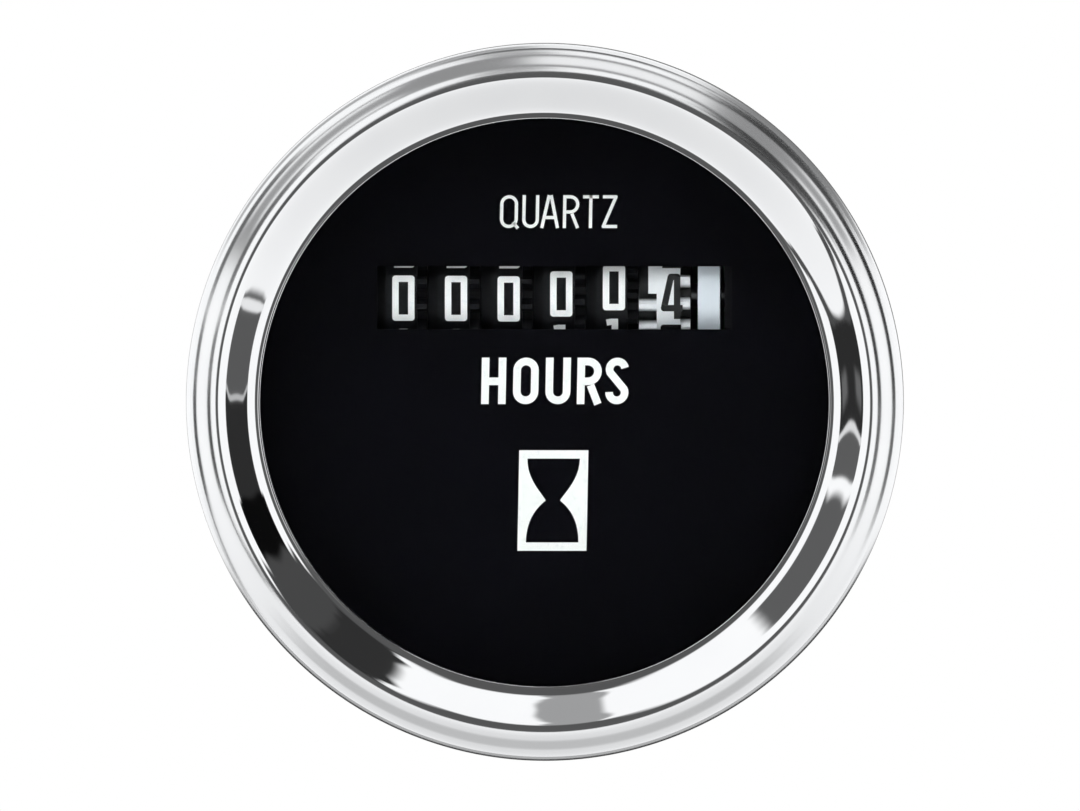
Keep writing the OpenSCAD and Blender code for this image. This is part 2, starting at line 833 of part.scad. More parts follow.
module motor_posts() {
    from = stator_left + stator_t;
    for (z = leg_z) color(brass) difference() {
        union() {
            rod([core_y, z], from, right_cheek, post_d);
            rod([core_y, z], right_cheek, right_cheek + cheek_t, stub_d);
        }
        rod([core_y, z], from - 1, right_cheek - 0.5, screw_d + 2 * fixed_gap);
    }
}

module motor_screws() {
    for (z = leg_z) color(zinc) {
        rod([core_y, z], core_left, right_cheek - 1, screw_d);
        rod([core_y, z], core_left - head_t, core_left, head_d);
    }
}

module circuit_board() {
    color("#2f6b45") upright() translate([0, 0, board_back]) linear_extrude(board_t) difference() {
        circle(r = board_r);
        for (place = pillars)
            translate(place) circle(d = screw_d + 2 * fixed_gap);
        for (y = pin_places)
            translate([pin_x, core_y + y]) circle(d = pin_d + 2 * fixed_gap);
        for (place = terminal_places)
            translate(place) square([tail_w + loose_gap, blade_t + loose_gap], center = true);
    }
}

module board_screws() {
    for (place = pillars) color(zinc) upright() {
        translate([place[0], place[1], board_back]) cylinder(d = screw_d, h = board_t + screw_bite);
        translate([place[0], place[1], board_back - head_t]) cylinder(d = head_d, h = head_t);
    }
}

module on_board(place, rise) {
    upright() translate([place[0], place[1], board_front + rise]) children();
}

module crystal_can() {
    color(steel) on_board(crystal_place, crystal_d / 2) rotate([0, 90, 0])
        cylinder(d = crystal_d, h = crystal_l);
}

module timer_chip() {
    color(black) on_board(chip_place, 0) cube(chip_size);
}

module filter_capacitor() {
    color("#23324f") on_board(capacitor_place, 0) cylinder(d = capacitor_d, h = capacitor_l);
}

module surge_suppressor() {
    color("#2b5ea8") on_board(suppressor_place, 0) cylinder(d = suppressor_d, h = suppressor_t);
}

module board_resistors() {
    for (x = resistor_row)
        color("#c9b28a") on_board([x, resistor_y], resistor_d / 2) rotate([-90, 0, 0])
            cylinder(d = resistor_d, h = resistor_l);
}

// Push-on blade with a stop inside the back and a tail soldered into the board
module blade_terminal(place) {
    tip = case_back - blade_l;
    color(brass) upright() difference() {
        union() {
            blade_slot(place, tip, floor_front, blade_w, blade_t);
            blade_slot(place, floor_front, floor_front + stop_l, blade_w + terminal_stop, blade_t);
            blade_slot(place, floor_front + stop_l, board_front + tail_end, tail_w, blade_t);
        }
        translate([place[0], place[1] + blade_t, tip + blade_hole_place]) rotate([90, 0, 0])
            cylinder(d = blade_hole_d, h = 2 * blade_t);
    }
}

module positive_terminal() {
    blade_terminal(terminal_places[1]);
}

module negative_terminal() {
    blade_terminal(terminal_places[0]);
}

module mounting_studs() {
    color(zinc) {
        at_studs(case_back - stud_l) cylinder(d = stud_d, h = stud_l + back_t);
        at_studs(floor_front) cylinder(d = stud_head_flats / cos(30), h = stud_head_t, $fn = 6);
    }
}

module stud_washers() {
    color(zinc) at_studs(case_back - washer_t) ring(2 * washer_r, stud_d + loose_gap, washer_t);
}

module stud_nuts() {
    color(zinc) at_studs(stud_nut_back) hex(nut_flats, stud_d + 2 * fixed_gap, nut_t);
}

// Clamp: a strip folded into a U whose feet press on the back of the panel
module mounting_clamp() {
    half = clamp_inside / 2;
    outer = bend_r + clamp_t;
    corner = [half - bend_r, clamp_front + bend_r];
    mirror_corner = [-corner[0], corner[1]];
    outline = concat(
        [[half, -panel_gap]],
        [[half + clamp_t, -panel_gap]],
        arc(corner, outer, 0, -90, bend_steps),
        arc(mirror_corner, outer, -90, -180, bend_steps),
        [[-half - clamp_t, -panel_gap]],
        [[-half, -panel_gap]],
        arc(mirror_corner, bend_r, -180, -90, bend_steps),
        arc(corner, bend_r, -90, 0, bend_steps)
    );
    color(zinc) difference() {
        upright() translate([0, clamp_w / 2, 0]) rotate([90, 0, 0])
            linear_extrude(clamp_w) polygon(outline);
        at_studs(clamp_back - 1) cylinder(d = stud_d + 2 * loose_gap, h = clamp_t + 2);
    }
}

module clamp_washers() {
    color(zinc) at_studs(clamp_back - washer_t)
        ring(2 * washer_r, stud_d + 2 * loose_gap, washer_t);
}

module clamp_nuts() {
    color(zinc) at_studs(clamp_back - washer_t - nut_t)
        hex(nut_flats, stud_d + 2 * run_gap, nut_t);
}

bezel();
lens();
lens_gasket();
spacer_ring();
dial();
case();
movement_frame();
counter_shaft();
counter_shaft_clip();
tenths_wheel();
units_wheel();
tens_wheel();
hundreds_wheel();
thousands_wheel();
ten_thousands_wheel();
drive_collar();
drive_gear();
pinion_shaft();
pinion_shaft_clips();
units_pinion();
tens_pinion();
hundreds_pinion();
thousands_pinion();
ten_thousands_pinion();
second_arbor();
second_wheel();
first_arbor();
first_wheel();
rotor_shaft();
rotor_magnet();
gear_bridge();
bridge_posts();
bridge_screws();
stator();
coil_core();
coil_bobbin();
coil_winding();
coil_pins();
motor_posts();
motor_screws();
circuit_board();
board_screws();
crystal_can();
timer_chip();
filter_capacitor();
surge_suppressor();
board_resistors();
positive_terminal();
negative_terminal();
mounting_studs();
stud_washers();
stud_nuts();
mounting_clamp();
clamp_washers();
clamp_nuts();
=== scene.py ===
"""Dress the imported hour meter: a polished bezel, glass, a printed dial, figures on the number wheels,
screw threads at the back and the finish of every piece. Sizes are in millimetres of the dial's own
frame, right, up and out towards the viewer, unless a name says otherwise."""
import json
import math

import bmesh
import bpy
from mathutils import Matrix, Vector


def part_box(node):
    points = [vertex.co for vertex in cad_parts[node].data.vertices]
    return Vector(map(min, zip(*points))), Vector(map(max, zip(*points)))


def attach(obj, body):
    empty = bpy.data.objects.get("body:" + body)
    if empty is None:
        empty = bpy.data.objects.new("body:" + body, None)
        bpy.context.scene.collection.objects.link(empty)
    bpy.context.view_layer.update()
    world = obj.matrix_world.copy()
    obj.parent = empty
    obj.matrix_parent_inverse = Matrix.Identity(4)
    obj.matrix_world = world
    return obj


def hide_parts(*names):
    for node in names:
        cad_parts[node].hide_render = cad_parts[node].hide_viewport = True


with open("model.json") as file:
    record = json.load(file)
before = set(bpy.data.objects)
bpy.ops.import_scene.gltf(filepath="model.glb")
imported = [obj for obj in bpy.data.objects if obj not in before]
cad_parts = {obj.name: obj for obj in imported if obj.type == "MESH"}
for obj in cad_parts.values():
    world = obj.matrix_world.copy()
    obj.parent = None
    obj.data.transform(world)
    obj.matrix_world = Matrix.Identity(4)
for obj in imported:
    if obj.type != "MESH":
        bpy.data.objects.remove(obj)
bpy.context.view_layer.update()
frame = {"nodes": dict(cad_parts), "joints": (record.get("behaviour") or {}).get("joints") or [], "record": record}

MM = 0.001
SIDES = (-1, 1)


def at(x, up, out):
    """A place in the dial's frame as metres of the part, whose dial faces -Y."""
    return Vector((x, -out, up)) * MM


def extent(node):
    """The sides of a node in the dial's frame."""
    low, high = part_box(node)
    return {
        "left": low.x / MM, "right": high.x / MM, "bottom": low.z / MM, "top": high.z / MM,
        "back": -high.y / MM, "front": -low.y / MM,
    }


def arc(centre, radius, start, end, steps):
    """Points on a circle's arc, from one angle in degrees to another."""
    points = []
    for i in range(steps + 1):
        angle = math.radians(start + (end - start) * i / steps)
        points.append((centre[0] + radius * math.cos(angle), centre[1] + radius * math.sin(angle)))
    return points


def bezier(points, steps):
    """Points on a curve with four control points."""
    curve = []
    for i in range(steps + 1):
        t = i / steps
        shares = ((1 - t) ** 3, 3 * t * (1 - t) ** 2, 3 * t * t * (1 - t), t ** 3)
        curve.append(tuple(sum(s * p[k] for s, p in zip(shares, points)) for k in (0, 1)))
    return curve


# Profile of the bezel, as radius and out. The skirt rolls over the rim to its foot, the sheet rises from
# there to a rounded crest, and the band falls from the crest to the lip round the opening.

bezel = extent("bezel")
lens = extent("lens")
RIM_R = bezel["right"]
SHEET = 0.5
EDGE_ROUND = 0.25
CREST_IN = 2.7
CREST_REACH = 1.14
RIM_IN = 0.38
RIM_DROP = 1.1
RIM_REACH = 1.0
RIM_LEAN = math.radians(14)
BAND_REACH = 0.9
LIP_FLAT = 0.35
LIP_CURL = 9
LIP_HOLLOW = 1.3
LIP_ROUND = 0.06
OPENING_R = 23.75
HEM_R = 26.8
crest = (RIM_R - CREST_IN, bezel["front"])
foot_out = lens["front"] + SHEET
rim_foot = (RIM_R - RIM_IN, foot_out)
rim_reach = (rim_foot[0] - RIM_REACH * math.cos(RIM_LEAN), foot_out + RIM_REACH * math.sin(RIM_LEAN))
rim_low = foot_out - RIM_DROP
rim_turn = (RIM_R - RIM_IN / 2, foot_out - RIM_DROP / 3)
lip_foot = (OPENING_R + LIP_FLAT, foot_out)


# Finishes


def linear(hex_colour):
    """An sRGB hex colour as the linear colour that a shader takes."""
    channels = []
    for i in (1, 3, 5):
        c = int(hex_colour[i:i + 2], 16) / 255
        channels.append(c / 12.92 if c <= 0.04045 else ((c + 0.055) / 1.055) ** 2.4)
    return (*channels, 1.0)


def connect(tree, target, inputs):
    """Give a node's inputs their values, or join them to other nodes' outputs."""
    for key, value in inputs.items():
        if isinstance(value, bpy.types.NodeSocket):
            tree.links.new(value, target.inputs[key])
        else:
            target.inputs[key].default_value = value


def add(tree, kind, inputs=None, **settings):
    """Add one node with its settings and its inputs' values and links."""
    made = tree.nodes.new(kind)
    for key, value in settings.items():
        setattr(made, key, value)
    connect(tree, made, inputs or {})
    return made


# Sockets of a colour mix, whose names its other kinds share
FIRST, SECOND, MIXED = 6, 7, 2


def per_metre(size):
    """Pattern scale for a detail of this size in millimetres."""
    return 1 / (size * MM)


def start(name):
    """A new material with its node tree, its shader and the place on the piece."""
    material = bpy.data.materials.new(name)
    material.use_nodes = True
    tree = material.node_tree
    place = add(tree, "ShaderNodeTexCoord").outputs["Object"]
    return material, tree, tree.nodes["Principled BSDF"], place


def moulded(name, colour, shade, grain, depth, rough, gloss=0.5, patch=6, swing=0.08):
    """Moulded plastic: the mould's fine grain breaks up its sheen, and its tone drifts a little."""
    material, tree, shader, place = start(name)
    drift = add(tree, "ShaderNodeTexNoise", {"Vector": place, "Scale": per_metre(patch), "Detail": 3})
    tone = add(tree, "ShaderNodeMix", {
        "Factor": drift.outputs[0], FIRST: linear(colour), SECOND: linear(shade),
    }, data_type="RGBA")
    pits = add(tree, "ShaderNodeTexNoise", {"Vector": place, "Scale": per_metre(grain), "Detail": 2})
    sheen = add(tree, "ShaderNodeMapRange", {
        "Value": pits.outputs[0], "To Min": rough - swing, "To Max": rough + swing,
    })
    bump = add(tree, "ShaderNodeBump", {"Strength": 0.5, "Distance": depth * MM, "Height": pits.outputs[0]})
    connect(tree, shader, {
        "Base Color": tone.outputs[MIXED], "Roughness": sheen.outputs[0], "Normal": bump.outputs[0],
        "Specular IOR Level": gloss,
    })
    return material


def metal(name, colour, shade, grain, stretch, rough, patch=3, depth=0.01, brighter=0.06, duller=0.08):
    """Rolled, drawn or plated metal: fine lines along one way and a faint cloud in its polish."""
    material, tree, shader, place = start(name)
    cloud = add(tree, "ShaderNodeTexNoise", {"Vector": place, "Scale": per_metre(patch), "Detail": 4})
    tone = add(tree, "ShaderNodeMix", {
        "Factor": cloud.outputs[0], FIRST: linear(colour), SECOND: linear(shade),
    }, data_type="RGBA")
    along = add(tree, "ShaderNodeVectorMath", {0: place, 1: stretch}, operation="MULTIPLY")
    lines = add(tree, "ShaderNodeTexNoise", {
        "Vector": along.outputs[0], "Scale": per_metre(grain), "Detail": 2,
    })
    polish = add(tree, "ShaderNodeMapRange", {
        "Value": lines.outputs[0], "To Min": rough - brighter, "To Max": rough + duller,
    })
    bump = add(tree, "ShaderNodeBump", {
        "Strength": 0.25, "Distance": depth * MM, "Height": lines.outputs[0],
    })
    connect(tree, shader, {
        "Base Color": tone.outputs[MIXED], "Metallic": 1.0, "Roughness": polish.outputs[0],
        "Normal": bump.outputs[0],
    })
    return material


def coated(name, colour, shade, speck, rough, coat, depth=0.02):
    """Lacquer or dip over a small component: glossy, with a slightly uneven skin."""
    material, tree, shader, place = start(name)
    skin = add(tree, "ShaderNodeTexNoise", {"Vector": place, "Scale": per_metre(speck), "Detail": 3})
    tone = add(tree, "ShaderNodeMix", {
        "Factor": skin.outputs[0], FIRST: linear(colour), SECOND: linear(shade),
    }, data_type="RGBA")
    bump = add(tree, "ShaderNodeBump", {"Strength": 0.2, "Distance": depth * MM, "Height": skin.outputs[0]})
    connect(tree, shader, {
        "Base Color": tone.outputs[MIXED], "Roughness": rough, "Coat Weight": coat, "Normal": bump.outputs[0],
    })
    return material


def dust(tree, place, spacing, size, share):
    """A mask of sparse round specks: one speck to a cell, kept in a small share of the cells."""
    cells = add(tree, "ShaderNodeTexVoronoi", {"Vector": place, "Scale": per_metre(spacing)})
    lot = add(tree, "ShaderNodeSeparateColor", {0: cells.outputs["Color"]})
    kept = add(tree, "ShaderNodeMath", {0: lot.outputs[0], 1: share}, operation="LESS_THAN")
    reach = add(tree, "ShaderNodeMath", {0: lot.outputs[1], 1: size / spacing}, operation="MULTIPLY")
    inside = add(
        tree, "ShaderNodeMath", {0: cells.outputs["Distance"], 1: reach.outputs[0]}, operation="LESS_THAN",
    )
    speck = add(tree, "ShaderNodeMath", {0: kept.outputs[0], 1: inside.outputs[0]}, operation="MULTIPLY")
    return speck.outputs[0]


# Roughness of the bezel's steel, and where its best polish fades out, past the crest
BUFFED = 0.045
LESS_BUFFED = 0.2
SPECKED = 0.4
BUFF_END = (-0.2, 0.5)


def polished_steel():
    """Stainless sheet, drawn and polished on a lathe: a mirror with faint turned lines and a few specks. The
    buff reaches the hollow inside the crest best, so the outside of the ring is a softer mirror. Real
    polishing lines are too fine to show, so they are drawn about 0.3 mm apart."""
    material, tree, shader, place = start("polished stainless steel")
    flat = add(tree, "ShaderNodeVectorMath", {0: place, 1: (1, 0, 1)}, operation="MULTIPLY")
    radius = add(tree, "ShaderNodeVectorMath", {0: flat.outputs[0]}, operation="LENGTH")
    lines = add(
        tree, "ShaderNodeTexNoise", {"W": radius.outputs["Value"], "Scale": per_metre(0.3), "Detail": 3},
        noise_dimensions="1D",
    )
    waves = add(tree, "ShaderNodeTexNoise", {"Vector": place, "Scale": per_metre(9), "Detail": 1})
    turned = add(tree, "ShaderNodeBump", {
        "Strength": 0.06, "Distance": 0.01 * MM, "Height": lines.outputs[0],
    })
    drawn = add(tree, "ShaderNodeBump", {
        "Strength": 0.12, "Distance": 0.15 * MM, "Height": waves.outputs[0], "Normal": turned.outputs[0],
    })
    specks = dust(tree, place, spacing=1.6, size=0.09, share=0.12)
    buff_from, buff_to = [(crest[0] + past) * MM for past in BUFF_END]
    buffed = add(tree, "ShaderNodeMapRange", {
        "Value": radius.outputs["Value"], "From Min": buff_from, "From Max": buff_to, "To Min": BUFFED,
        "To Max": LESS_BUFFED,
    })
    polish = add(tree, "ShaderNodeMapRange", {
        "Value": specks, "To Min": buffed.outputs[0], "To Max": SPECKED,
    })
    cloud = add(tree, "ShaderNodeTexNoise", {"Vector": place, "Scale": per_metre(5), "Detail": 3})
    tone = add(tree, "ShaderNodeMix", {
        "Factor": cloud.outputs[0], FIRST: linear("#e9eaeb"), SECOND: linear("#e3e4e6"),
    }, data_type="RGBA")
    connect(tree, shader, {
        "Base Color": tone.outputs[MIXED], "Metallic": 1.0, "Roughness": polish.outputs[0],
        "Normal": drawn.outputs[0],
    })
    return material


def float_glass():
    """Clear float glass with a coat against glare: it hardly mirrors what is square on to it."""
    material, tree, shader, place = start("clear float glass")
    marks = add(tree, "ShaderNodeTexNoise", {"Vector": place, "Scale": per_metre(2), "Detail": 5})
    wipe = add(tree, "ShaderNodeMapRange", {
        "Value": marks.outputs[0], "From Min": 0.62, "From Max": 0.8, "To Min": 0.0, "To Max": 0.02,
    })
    connect(tree, shader, {
        "Base Color": linear("#fbfdfd"), "Roughness": wipe.outputs[0], "IOR": 1.5, "Transmission Weight": 1.0,
        "Specular Tint": linear("#202020"),
    })
    return material


def dial_enamel():
    """Blue-black enamel sprayed on thin sheet: an even satin with a trace of orange peel and settled dust."""
    material, tree, shader, place = start("satin black enamel")
    drift = add(tree, "ShaderNodeTexNoise", {"Vector": place, "Scale": per_metre(14), "Detail": 3})
    tone = add(tree, "ShaderNodeMix", {
        "Factor": drift.outputs[0], FIRST: linear("#060609"), SECOND: linear("#0a0a10"),
    }, data_type="RGBA")
    specks = dust(tree, place, spacing=1.9, size=0.06, share=0.05)
    dusted = add(tree, "ShaderNodeMix", {
        "Factor": specks, FIRST: tone.outputs[MIXED], SECOND: linear("#8f9aa3"),
    }, data_type="RGBA")
    peel = add(tree, "ShaderNodeTexNoise", {"Vector": place, "Scale": per_metre(0.4), "Detail": 2})
    bump = add(tree, "ShaderNodeBump", {"Strength": 0.15, "Distance": 0.01 * MM, "Height": peel.outputs[0]})
    connect(tree, shader, {
        "Base Color": dusted.outputs[MIXED], "Roughness": 0.5, "Normal": bump.outputs[0],
        "Specular IOR Level": 0.02,
    })
    return material


def ink(name, colour, shade):
    """Screen ink or hot-stamped foil: flat and opaque, a little uneven where it lies thin."""
    material, tree, shader, place = start(name)
    cover = add(tree, "ShaderNodeTexNoise", {"Vector": place, "Scale": per_metre(0.5), "Detail": 4})
    thin = add(tree, "ShaderNodeMapRange", {"Value": cover.outputs[0], "From Min": 0.55, "From Max": 0.85})
    tone = add(tree, "ShaderNodeMix", {
        "Factor": thin.outputs[0], FIRST: linear(colour), SECOND: linear(shade),
    }, data_type="RGBA")
    connect(tree, shader, {"Base Color": tone.outputs[MIXED], "Roughness": 0.55, "Specular IOR Level": 0.3})
    return material


def white_with_painted_recess_shade(counter, tip, root):
    """White paint on the wheel's figure band and the tips of its teeth, darkening by radius to near-black down in
    the recesses: the near-black there is painted shade for the deep shadow that falls in the recesses."""
    material, tree, shader, place = start("white paint with painted recess shade")
    arm = add(tree, "ShaderNodeVectorMath", {0: place, 1: counter}, operation="SUBTRACT")
    across = add(tree, "ShaderNodeVectorMath", {0: arm.outputs[0], 1: (0, 1, 1)}, operation="MULTIPLY")
    radius = add(tree, "ShaderNodeVectorMath", {0: across.outputs[0]}, operation="LENGTH")
    # Painted shade: below this radius the wheel turns near-black, where its recesses lie in shadow
    cover = add(tree, "ShaderNodeMapRange", {
        "Value": radius.outputs["Value"], "From Min": root * MM, "From Max": tip * MM,
    })
    cloud = add(tree, "ShaderNodeTexNoise", {"Vector": place, "Scale": per_metre(1.2), "Detail": 3})
    paint = add(tree, "ShaderNodeMix", {
        "Factor": cloud.outputs[0], FIRST: linear("#f8f9fb"), SECOND: linear("#e3e7ec"),
    }, data_type="RGBA")
    # The near-black is painted shade in the recesses; the white is the paint on the band and the teeth tips
    tone = add(tree, "ShaderNodeMix", {
        "Factor": cover.outputs[0], FIRST: linear("#0d0e11"), SECOND: paint.outputs[MIXED],
    }, data_type="RGBA")
    connect(tree, shader, {"Base Color": tone.outputs[MIXED], "Roughness": 0.5, "Specular IOR Level": 0.3})
    return material


WAVES_PER_UNIT = 20


def enamelled_copper():
    """Fine enamelled wire, layer wound: amber gloss over copper. The 0.1 mm wire is drawn twice as coarse."""
    material, tree, shader, place = start("enamelled copper wire")
    turns = add(
        tree, "ShaderNodeTexWave",
        {"Vector": place, "Scale": per_metre(0.2) / WAVES_PER_UNIT, "Distortion": 0.4},
        bands_direction="Y",
    )
    # Painted shade and highlight: the tone follows the winding's bump, dark in the grooves between turns and light
    # on their crowns
    tone = add(tree, "ShaderNodeMix", {
        "Factor": turns.outputs[1], FIRST: linear("#6e3216"), SECOND: linear("#c67b3e"),
    }, data_type="RGBA")
    bump = add(tree, "ShaderNodeBump", {"Strength": 0.5, "Distance": 0.05 * MM, "Height": turns.outputs[1]})
    connect(tree, shader, {
        "Base Color": tone.outputs[MIXED], "Metallic": 0.8, "Roughness": 0.3, "Coat Weight": 0.6,
        "Normal": bump.outputs[0],
    })
    return material


def solder_mask():
    """Glass-fibre board under green solder mask: a faint weave and darker copper runs beneath the gloss."""
    material, tree, shader, place = start("green solder mask")
    weave = add(tree, "ShaderNodeTexChecker", {"Vector": place, "Scale": per_metre(0.6)})
    runs = add(tree, "ShaderNodeTexVoronoi", {
        "Vector": place, "Scale": per_metre(4),
    }, feature="DISTANCE_TO_EDGE")
    track = add(tree, "ShaderNodeMath", {0: runs.outputs[0], 1: 0.12}, operation="LESS_THAN")
    tone = add(tree, "ShaderNodeMix", {
        "Factor": track.outputs[0], FIRST: linear("#1d5a36"), SECOND: linear("#2f7a4c"),
    }, data_type="RGBA")
    bump = add(tree, "ShaderNodeBump", {
        "Strength": 0.15, "Distance": 0.03 * MM, "Height": weave.outputs[1],
    })
    connect(tree, shader, {
        "Base Color": tone.outputs[MIXED], "Roughness": 0.3, "Coat Weight": 0.4, "Normal": bump.outputs[0],
    })
    return material


ROUND = (1, 1, 1)
LENGTHWAYS = (0.04, 1, 1)
FORE_AND_AFT = (1, 0.04, 1)
bezel_steel = polished_steel()
glass = float_glass()
dial_black = dial_enamel()
dial_white = ink("white screen ink", "#fbfcfa", "#e6eaea")
figure_white = ink("white hot-stamped foil", "#fdfefe", "#e6eff3")
figure_black = ink("black hot-stamped foil", "#101114", "#1d1e23")
black_acetal = moulded(
    "black moulded acetal", "#08090b", "#121318", grain=0.25, depth=0.02, rough=0.5, gloss=0.12,
)
white_acetal = moulded("white moulded acetal", "#edf3fa", "#dbe4ee", grain=0.3, depth=0.015, rough=0.42)
zinc_plate = metal("bright zinc plate", "#c3c8cb", "#a7afb5", grain=0.12, stretch=ROUND, rough=0.3)
strip_steel = metal(
    "zinc-plated steel strip", "#bcc2c4", "#9ba3a6", grain=0.2, stretch=LENGTHWAYS, rough=0.34,
)
case_black = moulded("black moulded phenolic", "#121314", "#1d1e20", grain=0.18, depth=0.03, rough=0.45)
finish = {
    "polished_steel": bezel_steel,
    "glass": glass,
    "gasket_rubber": moulded(
        "black nitrile rubber", "#101010", "#1a1a1a", grain=0.15, depth=0.03, rough=0.75,
    ),
    "dial_paint": dial_black,
    "case_plastic": case_black,
    "frame_plastic": moulded(
        "black moulded nylon", "#08080a", "#0f0f12", grain=0.3, depth=0.02, rough=0.6, gloss=0.1,
    ),
    "black_wheel": black_acetal,
    "white_wheel": white_acetal,
    "shaft_steel": metal("ground steel rod", "#b9bbbd", "#a5a7aa", grain=0.1, stretch=ROUND, rough=0.28),
    "train_brass": metal("turned brass", "#d9b65c", "#bf9741", grain=0.1, stretch=ROUND, rough=0.26),
    "magnet": moulded("sintered ferrite", "#3a3b3e", "#4d4e52", grain=0.1, depth=0.02, rough=0.6),
    "motor_iron": metal(
        "annealed silicon steel", "#a2a4a6", "#8a8c8f", grain=0.2, stretch=FORE_AND_AFT, rough=0.4,
    ),
    "bobbin_plastic": moulded(
        "natural moulded nylon", "#e6e2d3", "#d8d2bf", grain=0.3, depth=0.02, rough=0.4,
    ),
    "copper_wire": enamelled_copper(),
    "tinned_wire": metal("tinned wire", "#cdced0", "#b5b7ba", grain=0.15, stretch=ROUND, rough=0.3),
    "board": solder_mask(),
    "chip_plastic": moulded("filled epoxy", "#1c1c1d", "#262628", grain=0.12, depth=0.02, rough=0.6),
    "capacitor_sleeve": coated("blue shrink sleeve", "#1d2c4c", "#24365c", speck=2, rough=0.35, coat=0.2),
    "suppressor_coat": coated("dipped blue epoxy", "#2456a6", "#1c478d", speck=1, rough=0.3, coat=0.3),
    "resistor_coat": coated("tan lacquer", "#cdb68c", "#bfa577", speck=0.8, rough=0.35, coat=0.3),
    "zinc_plate": zinc_plate,
    "clamp_steel": strip_steel,
    "tinned_brass": metal(
        "tinned brass", "#d3cfc2", "#bdb7a6", grain=0.15, stretch=FORE_AND_AFT, rough=0.28,
    ),
}
# Radii of the tenths wheel's painted recess shade: full shade below the first, clear white above the second
PAINTED_SHADE_BELOW = 5.9
PAINTED_SHADE_CLEAR = 6.5
counter = Vector(next(j for j in frame["joints"] if j["name"] == "tenths_turn")["pos_m"])
node_finish = {"tenths_wheel": white_with_painted_recess_shade(counter, PAINTED_SHADE_CLEAR, PAINTED_SHADE_BELOW)}
for part in frame["record"]["subparts"]:
    for holder in frame["nodes"][part["node"]].material_slots:
        holder.material = node_finish.get(part["node"], finish[part["material_slot"]])


# Mesh building

INK_RISE = 0.02
SAME_PLACE = 1e-6


def finish_piece(name, bm, material, body, replaced=(), crease=35):
    """Turn a finished bmesh into a piece that rides on a body."""
    bmesh.ops.recalc_face_normals(bm, faces=bm.faces[:])
    mesh = bpy.data.meshes.new(name)
    bm.to_mesh(mesh)
    bm.free()
    mesh.polygons.foreach_set("use_smooth", [True] * len(mesh.polygons))
    mesh.set_sharp_from_angle(angle=math.radians(crease))
    mesh.materials.append(material)
    piece = bpy.data.objects.new(name, mesh)
    bpy.context.scene.collection.objects.link(piece)
    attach(piece, body)
    if replaced:
        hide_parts(*replaced)


def grid(bm, rows, wrap_rows, wrap_columns):
    """Faces between rows of points, closed in either direction on request."""
    verts = [[bm.verts.new(p) for p in row] for row in rows]
    for i in range(len(verts) - (0 if wrap_rows else 1)):
        below, above = verts[i], verts[(i + 1) % len(verts)]
        for j in range(len(below) - (0 if wrap_columns else 1)):
            k = (j + 1) % len(below)
            bm.faces.new((below[j], below[k], above[k], above[j]))
    return verts


def lathe(bm, outline, steps, x=0.0, up=0.0):
    """Turn a closed outline of radius and out round an axis that runs out of the dial."""
    rows = []
    for i in range(steps):
        angle = 2 * math.pi * i / steps
        rows.append([at(x + r * math.cos(angle), up + r * math.sin(angle), z) for r, z in outline])
    grid(bm, rows, True, True)


def strip(bm, stations, lift, closed=False):
    """A thin slab over pairs of left and right points, laid on a surface by lift."""
    rows = []
    for i, (left, right) in enumerate(stations):
        corners = []
        for side, point in enumerate((left, right)):
            if i and (Vector(point) - Vector(stations[i - 1][side])).length < SAME_PLACE:
                corners.extend(rows[-1][2 * side:2 * side + 2])
            else:
                corners.extend(bm.verts.new(lift(point[0], point[1], h)) for h in (0, INK_RISE))
        rows.append(corners)
    pairs = list(zip(rows, rows[1:]))
    if closed:
        pairs.append((rows[-1], rows[0]))
    for (lb, lt, rb, rt), (lb2, lt2, rb2, rt2) in pairs:
        for loop in ((lt, rt, rt2, lt2), (lb, lb2, rb2, rb), (lb, lt, lt2, lb2), (rb, rb2, rt2, rt)):
            corners = list(dict.fromkeys(loop))
            if len(corners) > 2:
                bm.faces.new(corners)
    if not closed:
        for lb, lt, rb, rt in (rows[0], rows[-1]):
            bm.faces.new((lb, lt, rt, rb))


def resampled(path, step, closed):
    """The same path with points no further apart than a step."""
    points = []
    ends = list(zip(path, path[1:] + path[:1])) if closed else list(zip(path, path[1:]))
    for a, b in ends:
        a, b = Vector(a), Vector(b)
        count = max(1, math.ceil((b - a).length / step))
        points.extend(a.lerp(b, i / count) for i in range(count))
    if not closed:
        points.append(Vector(path[-1]))
    return points


def stroke(bm, path, width, lift, closed=False, step=0.4, bend=math.radians(20)):
    """Ink of even width along a path, with round outer corners, sharp inner ones and square ends."""
    points = resampled(path, step, closed)
    half = width / 2
    stations = []
    for i, p in enumerate(points):
        first = i == 0 and not closed
        last = i == len(points) - 1 and not closed
        before = (p - points[i - 1]).normalized() if not first else (points[i + 1] - p).normalized()
        after = (points[(i + 1) % len(points)] - p).normalized() if not last else before
        side = Vector((-before.y, before.x))
        next_side = Vector((-after.y, after.x))
        turn = math.atan2(before.cross(after), before.dot(after))
        middle = (side + next_side).normalized() * half / math.cos(turn / 2)
        if abs(turn) < bend:
            stations.append((p + middle, p - middle))
            continue
        count = math.ceil(abs(turn) / bend)
        for j in range(count + 1):
            angle = turn * j / count
            swept = side * math.cos(angle) - before * math.sin(angle)
            if turn > 0:
                stations.append((p + middle, p - swept * half))
            else:
                stations.append((p + swept * half, p - middle))
    strip(bm, stations, lift, closed)


# Bezel

